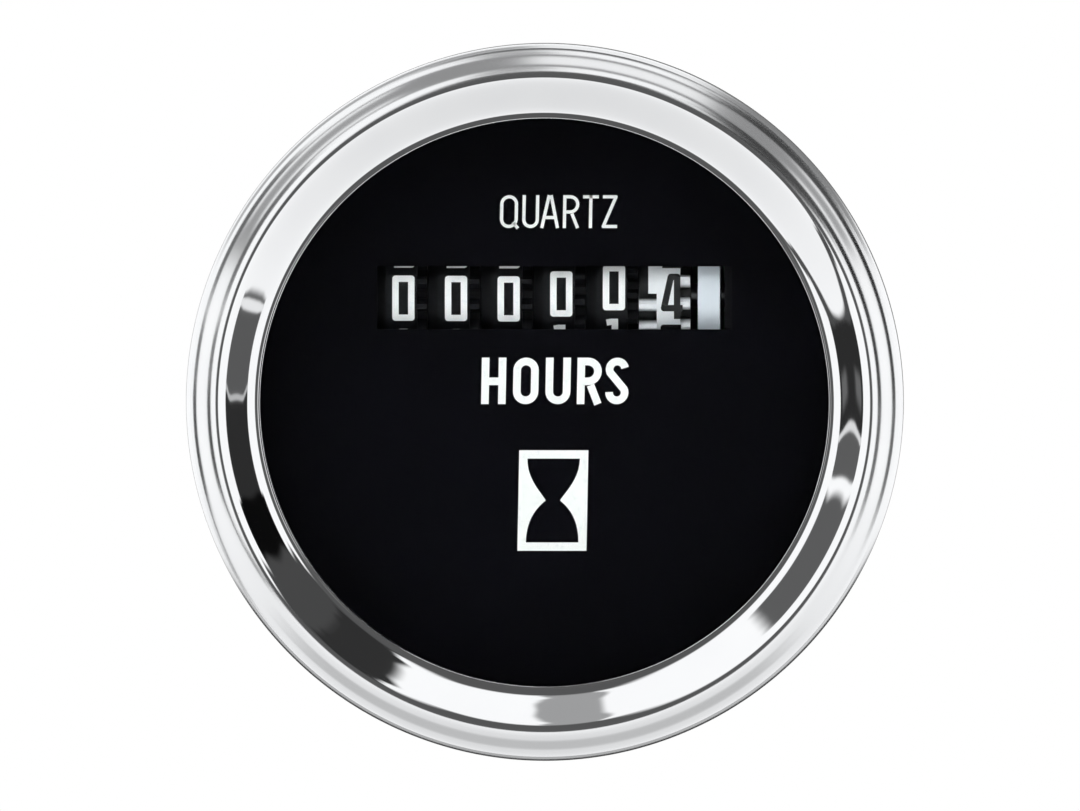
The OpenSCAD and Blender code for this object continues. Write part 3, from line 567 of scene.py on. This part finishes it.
outline = [(HEM_R, bezel["back"])]
outline += arc((RIM_R - EDGE_ROUND, bezel["back"] + EDGE_ROUND), EDGE_ROUND, -90, 0, 8)
outline += bezier([(RIM_R, rim_low), (RIM_R, rim_low + RIM_DROP / 2), rim_turn, rim_foot], 10)
outline += bezier([rim_foot, rim_reach, (crest[0] + CREST_REACH, crest[1]), crest], 32)[1:]
outline += bezier([
    crest, (crest[0] - BAND_REACH, crest[1]), (lip_foot[0] + BAND_REACH, foot_out), lip_foot,
], 36)[1:]
outline += arc((lip_foot[0], foot_out + LIP_HOLLOW), LIP_HOLLOW, -90, -90 - LIP_CURL, 6)[1:]
outline += arc((OPENING_R + LIP_ROUND, outline[-1][1] - LIP_ROUND), LIP_ROUND, 90, 180, 5)
outline += [(OPENING_R, lens["front"]), (lip_foot[0], lens["front"])]
inner_crest = (crest[0], crest[1] - SHEET)
inner_rim = (RIM_R - SHEET, lens["front"])
outline += bezier([
    outline[-1], (lip_foot[0] + BAND_REACH + SHEET, lens["front"]),
    (crest[0] - BAND_REACH + SHEET, inner_crest[1]), inner_crest,
], 14)[1:]
outline += bezier([
    inner_crest, (crest[0] + CREST_REACH - SHEET, inner_crest[1]),
    (inner_rim[0] - RIM_REACH - SHEET / 2, lens["front"]), inner_rim,
], 14)[1:]
outline += [(RIM_R - SHEET, bezel["back"] + SHEET), (HEM_R, bezel["back"] + SHEET)]
bm = bmesh.new()
lathe(bm, outline, steps=360)
finish_piece("spun_bezel", bm, bezel_steel, "meter", ["bezel"], crease=40)


# Print on the dial

dial = extent("dial")
LEAN = math.tan(math.radians(1.1))
ROUND_STEPS = 14


def on_dial(x, up, h):
    """Lay ink on the dial's face."""
    return at(x, up, dial["front"] + h)


def bowl(width, height, line, side):
    """The round end of a letter, from one stem round to the other, above or below its middle."""
    half = (width - line) / 2
    middle = side * ((height - line) / 2 - half)
    return arc((0, middle), half, 90 - 90 * side, 270 - 90 * side, ROUND_STEPS)


def letter(name, w, h, t):
    """Centre lines of a capital of this width, height and line, about its middle. Shares of these three place
    the bars, legs and tails."""
    a, b = (w - t) / 2, h / 2
    mid = -0.01 * h
    top, low = b - t / 2, -b + t / 2
    round_r = (top - mid) / 2
    shapes = {
        "H": [[(-a, b), (-a, -b)], [(a, b), (a, -b)], [(t / 2 - a, mid), (a - t / 2, mid)]],
        "O": [bowl(w, h, t, 1) + bowl(w, h, t, -1)],
        "U": [[(-a, b)] + bowl(w, h, t, -1) + [(a, b)]],
        "R": [
            [(-a, b), (-a, -b)],
            [(t / 2 - a, top)] + arc((a - round_r, top - round_r), round_r, 90, -90, 12) + [(t / 2 - a, mid)],
            [(0.05 * w, mid - t / 2), (a + 0.02 * w, -b)],
        ],
        "S": [arc((0, top - a), a, 10, 206, 14) + arc((0, low + a), a, 26, -184, 15)],
        "Q": [bowl(w, h, t, 1) + bowl(w, h, t, -1), [(a * 0.55, low + 1.3 * t), (a + 0.6 * t, -b - 0.1 * t)]],
        "A": [
            [(-a - t / 4, -b), (-t * 0.3, b)], [(a + t / 4, -b), (t * 0.3, b)],
            [(-a * 0.62, -0.18 * h), (a * 0.62, -0.18 * h)],
        ],
        "T": [[(0, b), (0, -b)], [(-w / 2, top), (w / 2, top)]],
        "Z": [[(-a - t / 4, top), (a, top), (-a, low), (a + t / 2, low)]],
    }
    return shapes[name]


def word(name, letters, up, height, line):
    """Print a word from its letters' left edges and widths."""
    bm = bmesh.new()
    for capital, left, width in letters:
        middle = left + width / 2

        def lift(x, y, h):
            """Lay ink on the dial about the middle of this letter."""
            return on_dial(middle + x + y * LEAN, up + y, h)

        for path in letter(capital, width, height, line):
            ring = capital in "OQ" and len(path) > 2
            stroke(bm, path, line, lift, ring)
    finish_piece(name, bm, dial_white, "meter")


word(
    "print_hours",
    [("H", -5.43, 2.06), ("O", -2.77, 2.13), ("U", -0.05, 2.1), ("R", 2.6, 2.05), ("S", 4.98, 1.94)],
    up=1.63, height=3.9, line=0.64,
)
word(
    "print_quartz",
    [
        ("Q", -3.87, 1.5), ("U", -2.0, 1.4), ("A", -0.42, 1.46), ("R", 1.41, 1.36), ("T", 3.07, 1.32),
        ("Z", 4.67, 1.3),
    ],
    up=15.83, height=2.76, line=0.27,
)

# Hourglass sign: a white panel with the glass left bare in it
SIGN = (0.56, -8.41)
SIGN_W = 5.8
SIGN_H = 8.44
SIGN_EDGE = 0.7
WAIST = 0.6
UPPER_FLARE = 1.0
LOWER_FLARE = 1.5
FLARE_AT = 0.2
SHOULDER_AT = 0.5
glass_half = SIGN_H / 2 - SIGN_EDGE
mouth = SIGN_W / 2 - SIGN_EDGE


def glass_edge(flare):
    """One edge of a bulb, from the waist to the mouth, as distance from the axis and height."""
    flared = (flare, FLARE_AT * glass_half)
    shoulder = (mouth, SHOULDER_AT * glass_half)
    return bezier([(WAIST, 0), flared, shoulder, (mouth, glass_half)], 16)


glass_side = [(x, -y) for x, y in reversed(glass_edge(LOWER_FLARE))] + glass_edge(UPPER_FLARE)[1:]


def on_sign(x, y, h):
    """Lay ink on the dial about the middle of the sign."""
    return on_dial(SIGN[0] + x + y * LEAN, SIGN[1] + y, h)


bm = bmesh.new()
for side in SIDES:
    strip(bm, [((side * SIGN_W / 2, y), (side * x, y)) for x, y in glass_side], on_sign)
    strip(bm, [((x, side * SIGN_H / 2), (x, side * glass_half)) for x in (-SIGN_W / 2, SIGN_W / 2)], on_sign)
finish_piece("print_hourglass", bm, dial_white, "meter")


# Figures on the number wheels

FIGURE_W = 1.87
FIGURE_H = 3.84
SHORT_H = 3.44
FIGURE_LINE = 0.54
FIGURE_PLACE = 2.33
TENTHS_PLACE = 2.75
FIGURE_STEP = 360 / 10
END = FIGURE_H / (FIGURE_H - FIGURE_LINE)
# Centre lines of the figures, in shares of half their width and height
figures = [
    [[(-1, -1), (1, -1), (1, 1), (-1, 1)]],
    [[(0.1, END), (0.1, -END)], [(-0.94, 0.93), (-0.2, 0.99)]],
    [[(-1, 0.55), (-1, 1), (1, 1), (1, 0.1), (-1, -1), (1.3, -1)]],
    [[(-1.2, 1), (1, 1), (1, -1), (-1.2, -1)], [(-0.4, 0), (0.6, 0)]],
    [[(0.69, -END), (0.69, 1), (-0.1, 1), (-0.96, -0.6), (1.39, -0.6)]],
    [[(1.2, 1), (-1, 1), (-1, 0.1), (1, 0.1), (1, -1), (-1.3, -1)]],
    [[(1.2, 1), (-1, 1), (-1, -1), (1, -1), (1, 0.05), (-0.6, 0.05)]],
    [[(-1.3, 1), (1, 1), (-0.2, -END)]],
    [[(-1, -1), (1, -1), (1, 1), (-1, 1)], [(-0.6, 0), (0.6, 0)]],
    [[(-1.2, -1), (1, -1), (1, 1), (-1, 1), (-1, -0.05), (0.6, -0.05)]],
]
closed_figures = (0, 8)
# How far each wheel has turned from its nought, in degrees, as the counter reads just over 0.4
wheel_turns = {
    "tenths": 144.8, "units": 7.0, "tens": 2.5, "hundreds": -1.1, "thousands": -0.8, "ten_thousands": -0.6,
}
counter_up, counter_out = counter.z / MM, -counter.y / MM
half_w = (FIGURE_W - FIGURE_LINE) / 2
for wheel, turn in wheel_turns.items():
    drum = extent(wheel + "_wheel")
    drum_r = drum["top"] - counter_up
    white = wheel != "tenths"
    middle = drum["left"] + (FIGURE_PLACE if white else TENTHS_PLACE)
    bm = bmesh.new()
    for figure, paths in enumerate(figures):
        centre = math.radians(turn - figure * FIGURE_STEP)
        # The white noughts stand a little taller than the other white figures
        half_h = ((SHORT_H if white and figure else FIGURE_H) - FIGURE_LINE) / 2

        def lift(x, y, h):
            """Lay foil round the drum about the middle of this figure."""
            angle = centre + y / drum_r
            r = drum_r + h
            return at(middle + x, counter_up + r * math.sin(angle), counter_out + r * math.cos(angle))

        for path in paths:
            points = [(x * half_w, y * half_h) for x, y in path]
            ring = figure in closed_figures and path is paths[0]
            stroke(bm, points, FIGURE_LINE, lift, ring, step=0.3)
    finish_piece(
        wheel + "_figures", bm, figure_white if white else figure_black, wheel,
    )


# Threaded studs, nuts and washers at the back

case = extent("case")
studs = extent("mounting_studs")
THREAD_PITCH = 0.7
THREAD_DEPTH = 0.36
THREAD_ROWS = 8
STUD_R = 2.0
STUD_SIDES = 36
STUD_BEVEL = 0.5
HEAD_FLATS = 6
HEAD_T = 1.6
HEAD_BORE = 0.2
NUT_FLATS = 7
NUT_SIDES = 96
NUT_FACE = 0.97
NUT_BEVEL = math.radians(30)
NUT_PLAY = 0.02
stud_x = studs["right"] - HEAD_FLATS / math.sqrt(3)


def thread(bm, x, back, front):
    """A stud with a rolled thread: its radius rises and falls along the helix, and its end is bevelled."""
    rows = []
    count = math.ceil((front - back) / THREAD_PITCH * THREAD_ROWS)
    for i in range(count + 1):
        z = back + (front - back) * i / count
        row = []
        for j in range(STUD_SIDES):
            angle = 2 * math.pi * j / STUD_SIDES
            phase = (z / THREAD_PITCH + j / STUD_SIDES) % 1
            r = STUD_R - THREAD_DEPTH * abs(2 * phase - 1)
            r = min(r, STUD_R - STUD_BEVEL + (z - back))
            row.append(at(x + r * math.cos(angle), r * math.sin(angle), z))
        rows.append(row)
    verts = grid(bm, rows, False, True)
    bm.faces.new(verts[0])
    bm.faces.new(verts[-1])


def nut(bm, x, back, front, flats, bore):
    """A hexagon with bevelled corners on both faces."""
    bevel_r = flats / 2 * NUT_FACE
    rows = []
    for i in range(NUT_SIDES):
        angle = 2 * math.pi * i / NUT_SIDES
        r = flats / 2 / math.cos((angle + math.pi / 6) % (math.pi / 3) - math.pi / 6)
        drop = (r - bevel_r) * math.tan(NUT_BEVEL)
        profile = [
            (bore, front), (bevel_r, front), (r, front - drop),
            (r, back + drop), (bevel_r, back), (bore, back),
        ]
        rows.append([at(x + p * math.cos(angle), p * math.sin(angle), z) for p, z in profile])
    grid(bm, rows, True, True)


bm = bmesh.new()
for side in SIDES:
    thread(bm, side * stud_x, studs["back"], studs["front"] - HEAD_T)
    nut(bm, side * stud_x, studs["front"] - HEAD_T, studs["front"], HEAD_FLATS, HEAD_BORE)
finish_piece("threaded_studs", bm, zinc_plate, "meter", ["mounting_studs"], crease=25)

for name, body in (("stud_nuts", "meter"), ("clamp_nuts", "clamp")):
    place = extent(name)
    bm = bmesh.new()
    for side in SIDES:
        nut(bm, side * stud_x, place["back"], place["front"], NUT_FLATS, STUD_R + NUT_PLAY)
    finish_piece("bevelled_" + name, bm, zinc_plate, body, [name], crease=25)


WASHER_R = 3.8
WASHER_PLAY = 0.2
WASHER_EASE = 0.2
WASHER_SIDES = 64
SPLIT_PLAY = 0.1
SPLIT_GAP = 12
SPLIT_SIDES = 60


def split_washer(bm, x, back, front, bore, outer, gap):
    """A spring washer: a square-edged ring cut through at the top."""
    rows = []
    for i in range(SPLIT_SIDES + 1):
        angle = math.radians(90 + gap / 2 + (360 - gap) * i / SPLIT_SIDES)
        section = ((bore, back), (outer, back), (outer, front), (bore, front))
        rows.append([at(x + r * math.cos(angle), r * math.sin(angle), z) for r, z in section])
    verts = grid(bm, rows, False, True)
    bm.faces.new(verts[0])
    bm.faces.new(verts[-1])


def plain_washer(bm, x, back, front, bore, outer, ease):
    """A stamped washer with eased rims."""
    rims = [(bore, back), (bore, front)]
    rims += arc((outer - ease, front - ease), ease, 90, 0, 4)
    rims += arc((outer - ease, back + ease), ease, 0, -90, 4)
    lathe(bm, rims, WASHER_SIDES, x)


place = extent("stud_washers")
bm = bmesh.new()
for side in SIDES:
    split_washer(bm, side * stud_x, place["back"], place["front"], STUD_R + SPLIT_PLAY, WASHER_R, SPLIT_GAP)
finish_piece("spring_washers", bm, zinc_plate, "meter", ["stud_washers"])
place = extent("clamp_washers")
bm = bmesh.new()
for side in SIDES:
    plain_washer(
        bm, side * stud_x, place["back"], place["front"], STUD_R + WASHER_PLAY, WASHER_R, WASHER_EASE,
    )
finish_piece("stamped_washers", bm, zinc_plate, "clamp", ["clamp_washers"])


CLAMP_EASE = 0.2
BLADE_EASE = 0.12
FLAT_ANGLE = math.radians(0.5)
SHARP_ANGLE = math.radians(40)


def eased(name, node, width, body, slot):
    """A copy of a stamped piece with its sharp edges softened."""
    bm = bmesh.new()
    bm.from_mesh(frame["nodes"][node].data)
    bm.transform(frame["nodes"][node].matrix_world)
    bmesh.ops.remove_doubles(bm, verts=bm.verts[:], dist=SAME_PLACE)
    bmesh.ops.dissolve_limit(bm, angle_limit=FLAT_ANGLE, verts=bm.verts[:], edges=bm.edges[:])
    sharp = [e for e in bm.edges if len(e.link_faces) == 2 and e.calc_face_angle() > SHARP_ANGLE]
    bmesh.ops.bevel(bm, geom=sharp, offset=width * MM, segments=2, profile=0.5, affect="EDGES")
    finish_piece(name, bm, finish[slot], body, [node])


eased("folded_clamp", "mounting_clamp", CLAMP_EASE, "clamp", "clamp_steel")
for pole in ("positive", "negative"):
    eased(pole + "_blade", pole + "_terminal", BLADE_EASE, "meter", "tinned_brass")


# Plus and minus moulded on the back, over the blades
MARK_UP = -9.6
MARK_SIZE = 3.0
MARK_LINE = 0.6
MARK_RISE = 0.3
for pole, sign_paths in (
    ("positive", [[(-0.5, 0), (0.5, 0)], [(0, 0.1), (0, 0.5)], [(0, -0.5), (0, -0.1)]]),
    ("negative", [[(-0.5, 0), (0.5, 0)]]),
):
    blade = extent(pole + "_terminal")
    middle = (blade["left"] + blade["right"]) / 2

    def on_back(x, y, h):
        """Raise the mark from the back of the case."""
        return at(middle + x, MARK_UP + y, case["back"] - h * MARK_RISE / INK_RISE)

    bm = bmesh.new()
    for path in sign_paths:
        stroke(bm, [(x * MARK_SIZE, y * MARK_SIZE) for x, y in path], MARK_LINE, on_back)
    finish_piece(pole + "_mark", bm, case_black, "meter")


# Stage: camera, light and floor

PHOTO_W, PHOTO_H = 1080, 811
RIM_PX = (544.8, 402.1)
RIM_R_PX = 358.8
RIM_OUT = 3.0
SENSOR_W = 36
CAMERA_AWAY = 1500
CAMERA_RIGHT = math.radians(1.4)
CAMERA_UP = math.radians(1.8)
px_per_mm = RIM_R_PX / RIM_R

camera_data = bpy.data.cameras.new("portrait_camera")
camera_data.sensor_width = SENSOR_W
camera_data.lens = camera_data.sensor_width * CAMERA_AWAY * px_per_mm / PHOTO_W
camera = bpy.data.objects.new("portrait_camera", camera_data)
bpy.context.scene.collection.objects.link(camera)
bpy.context.scene.camera = camera
back = Vector((
    math.sin(CAMERA_RIGHT) * math.cos(CAMERA_UP),
    -math.cos(CAMERA_RIGHT) * math.cos(CAMERA_UP),
    math.sin(CAMERA_UP),
))
turned = back.to_track_quat("Z", "Y")
aside = turned @ Vector((
    (PHOTO_W / 2 - RIM_PX[0]) / px_per_mm, (RIM_PX[1] - PHOTO_H / 2) / px_per_mm, CAMERA_AWAY,
))
camera.rotation_mode = "QUATERNION"
camera.rotation_quaternion = turned
camera.location = at(0, 0, RIM_OUT) + aside * MM

bpy.context.scene.view_settings.view_transform = "Standard"


def card_mask(tree, spans, soft):
    """Where a card stands in the tent, between two limits of each angle, in degrees, with soft edges."""
    mask = None
    for angle, limits in spans:
        for limit, sign in zip(limits, (1, -1)):
            edge = add(
                tree, "ShaderNodeMapRange",
                {
                    "Value": angle,
                    "From Min": math.radians(limit - soft * sign),
                    "From Max": math.radians(limit + soft * sign),
                },
                interpolation_type="SMOOTHSTEP",
            ).outputs[0]
            mask = edge if mask is None else add(
                tree, "ShaderNodeMath", {0: mask, 1: edge}, operation="MULTIPLY",
            ).outputs[0]
    return mask


WRINKLE_SCALE = 2.6
WRINKLE_DEPTH = 0.16
SLANT = -2.6


def tent_angles(tree, way, straight):
    """Angles that place a card: how far a way leans from straight out, how far it is turned up from the right
    or from the left, the left turn and the lean together on a slant, and the reach across and up. The turns
    follow the tent's wrinkles."""
    wrinkle = add(tree, "ShaderNodeTexNoise", {"Vector": way, "Scale": WRINKLE_SCALE, "Detail": 1})
    centred = add(
        tree, "ShaderNodeVectorMath", {0: wrinkle.outputs[1], 1: (0.5, 0.5, 0.5)}, operation="SUBTRACT",
    )
    crumpled = add(
        tree, "ShaderNodeVectorMath", {0: centred.outputs[0], 1: (WRINKLE_DEPTH,) * 3, 2: way},
        operation="MULTIPLY_ADD",
    )
    bent = add(tree, "ShaderNodeSeparateXYZ", {0: crumpled.outputs[0]}).outputs
    forward = add(tree, "ShaderNodeMath", {0: straight["Y"], 1: -1.0}, operation="MULTIPLY").outputs[0]
    leftward = add(tree, "ShaderNodeMath", {0: bent["X"], 1: -1.0}, operation="MULTIPLY").outputs[0]
    lean = add(tree, "ShaderNodeMath", {0: forward}, operation="ARCCOSINE").outputs[0]
    right = add(tree, "ShaderNodeMath", {0: bent["Z"], 1: bent["X"]}, operation="ARCTAN2").outputs[0]
    left = add(tree, "ShaderNodeMath", {0: bent["Z"], 1: leftward}, operation="ARCTAN2").outputs[0]
    slant = add(tree, "ShaderNodeMath", {0: left, 1: SLANT, 2: lean}, operation="MULTIPLY_ADD").outputs[0]
    across = add(tree, "ShaderNodeMath", {0: straight["X"]}, operation="ARCSINE").outputs[0]
    rise = add(tree, "ShaderNodeMath", {0: straight["Z"]}, operation="ARCSINE").outputs[0]
    return lean, right, left, slant, across, rise


def tent_level(tree, way, straight):
    """How bright the tent is each way: white, a little greyer below, with cards laid over it one by one. Each
    card has its limits and the softness of its edge in degrees, and its level."""
    lean, right, left, slant, across, rise = tent_angles(tree, way, straight)
    level = add(tree, "ShaderNodeMapRange", {
        "Value": straight["Z"], "From Min": -1.0, "From Max": -0.2, "To Min": 0.9, "To Max": 1.2,
    }).outputs[0]
    for spans, soft, tone in (
        # Behind the meter and below it, for the lines of the rim and the grey at the outer hollow's foot
        ([(lean, (156, 190))], 5.0, 0.12),
        ([(right, (-150, -30)), (lean, (125, 175))], 6.0, 0.06),
        ([(right, (-135, -50)), (lean, (100, 122))], 7.0, 0.62),
        # Above it, for the grey at the outer hollow's top, with three bright panes
        ([(right, (24, 157)), (lean, (86, 125))], 3.0, 0.32),
        ([(right, (30, 62)), (lean, (118, 162))], 5.0, 0.25),
        ([(right, (62, 94)), (lean, (100, 125))], 2.5, 1.1),
        ([(right, (16, 42)), (lean, (93, 105))], 2.5, 1.1),
        ([(right, (118, 150)), (lean, (94, 106))], 2.5, 1.1),
        # To the right, for the dark of the band's left and lower left, with two bright slits
        ([(right, (-24, -1)), (lean, (64, 92))], 1.0, 0.12),
        ([(right, (-4, 20)), (lean, (64, 92))], 1.0, 0.03),
        ([(right, (17, 34)), (lean, (58, 92))], 1.0, 0.003),
        ([(right, (30, 47)), (lean, (14, 92))], 1.5, 0.075),
        ([(right, (45, 62)), (lean, (14, 92))], 1.5, 0.035),
        ([(right, (-22.6, -20.4)), (lean, (64, 92))], 0.4, 1.0),
        ([(right, (-5.2, -4.0)), (lean, (64, 90))], 0.3, 0.6),
        # Overhead, for the grey patch at the foot of the band
        ([(right, (91, 103)), (lean, (14, 90))], 1.0, 0.42),
        # To the left, for the dark of the band's right, with grey panes and a bright slit
        ([(left, (-40, -12)), (slant, (108, 127))], 3.0, 0.09),
        ([(left, (15, 43)), (lean, (61, 92))], 1.8, 0.13),
        ([(left, (-16.8, 10.4)), (lean, (64, 92))], 1.0, 0.03),
        ([(left, (2, 10.4)), (lean, (65, 92))], 1.0, 0.13),
        ([(left, (-7, -2)), (lean, (70, 79))], 1.5, 0.16),
        ([(left, (1.5, 2.7)), (lean, (64, 90))], 0.3, 0.9),
        # In front, where the photographer stands, for the lines of the crest and the lip
        ([(across, (-14, 14)), (rise, (-20, 46)), (lean, (-30, 60))], 4.0, 0.11),
    ):
        mask = card_mask(tree, spans, soft)
        level = add(tree, "ShaderNodeMix", {"Factor": mask, "A": level, "B": tone}).outputs[0]
    return level


EVEN_LIGHT = 0.72
BANK_FROM, BANK_FULL = 0.25, 0.55
BETWEEN_BANKS, BANK_LIGHT = 0.3, 4.2


def studio():
    """A white tent with dark cards to both sides. Gloss sees the cards, the camera sees plain white, matt
    surfaces get an even light, and whatever lies behind the glass is lit by two banks, above and below."""
    world = bpy.data.worlds.new("white_tent")
    world.use_nodes = True
    bpy.context.scene.world = world
    tree = world.node_tree
    tree.nodes.clear()
    way = add(tree, "ShaderNodeTexCoord").outputs["Generated"]
    straight = add(tree, "ShaderNodeSeparateXYZ", {0: way}).outputs
    steep = add(tree, "ShaderNodeMath", {0: straight["Z"]}, operation="ABSOLUTE")
    banks = add(tree, "ShaderNodeMapRange", {
        "Value": steep.outputs[0], "From Min": BANK_FROM, "From Max": BANK_FULL, "To Min": BETWEEN_BANKS,
        "To Max": BANK_LIGHT,
    }, interpolation_type="SMOOTHSTEP")
    seen = add(tree, "ShaderNodeLightPath")
    shown = add(tree, "ShaderNodeBackground", {"Color": (1, 1, 1, 1), "Strength": EVEN_LIGHT}).outputs[0]
    for ray, light in (
        ("Is Glossy Ray", tent_level(tree, way, straight)),
        ("Is Transmission Ray", banks.outputs[0]),
        ("Is Camera Ray", (1, 1, 1, 1)),
    ):
        lit = add(tree, "ShaderNodeBackground", {"Color": light}).outputs[0]
        shown = add(tree, "ShaderNodeMixShader", {0: seen.outputs[ray], 1: shown, 2: lit}).outputs[0]
    add(tree, "ShaderNodeOutputWorld", {0: shown})


studio()

PAPER_LIFT = 0.4


def paper_sweep():
    """Matt white paper with a faint fibre, lifted for the camera alone so that it melts into the white."""
    material, tree, shader, place = start("matt white paper sweep")
    fibre = add(tree, "ShaderNodeTexNoise", {"Vector": place, "Scale": per_metre(3), "Detail": 3})
    tone = add(tree, "ShaderNodeMix", {
        "Factor": fibre.outputs[0], FIRST: linear("#f6f6f4"), SECOND: linear("#f1f1ef"),
    }, data_type="RGBA")
    seen = add(tree, "ShaderNodeLightPath").outputs["Is Camera Ray"]
    lift = add(tree, "ShaderNodeMath", {0: seen, 1: PAPER_LIFT}, operation="MULTIPLY")
    connect(tree, shader, {
        "Base Color": tone.outputs[MIXED], "Roughness": 0.9, "Emission Color": (1, 1, 1, 1),
        "Emission Strength": lift.outputs[0],
    })
    return material


FLOOR_UP = -150
FLOOR_HALF = 1000
bm = bmesh.new()
corners = [(x * FLOOR_HALF, out * FLOOR_HALF) for x, out in ((-1, 1), (1, 1), (1, -1), (-1, -1))]
bm.faces.new([bm.verts.new(at(x, FLOOR_UP, out)) for x, out in corners])
floor_mesh = bpy.data.meshes.new("floor")
bm.to_mesh(floor_mesh)
bm.free()
floor_mesh.materials.append(paper_sweep())
floor = bpy.data.objects.new("floor", floor_mesh)
bpy.context.scene.collection.objects.link(floor)
floor.visible_glossy = False
floor.visible_transmission = False

KEY_PLACE = at(-450, 700, 800)
KEY_SIZE = 600
KEY_WATTS = 4
key_data = bpy.data.lights.new("soft_key", "AREA")
key_data.size = KEY_SIZE * MM
key_data.energy = KEY_WATTS
key = bpy.data.objects.new("soft_key", key_data)
key.location = KEY_PLACE
key.rotation_mode = "QUATERNION"
key.rotation_quaternion = KEY_PLACE.to_track_quat("Z", "Y")
key.visible_glossy = False
bpy.context.scene.collection.objects.link(key)
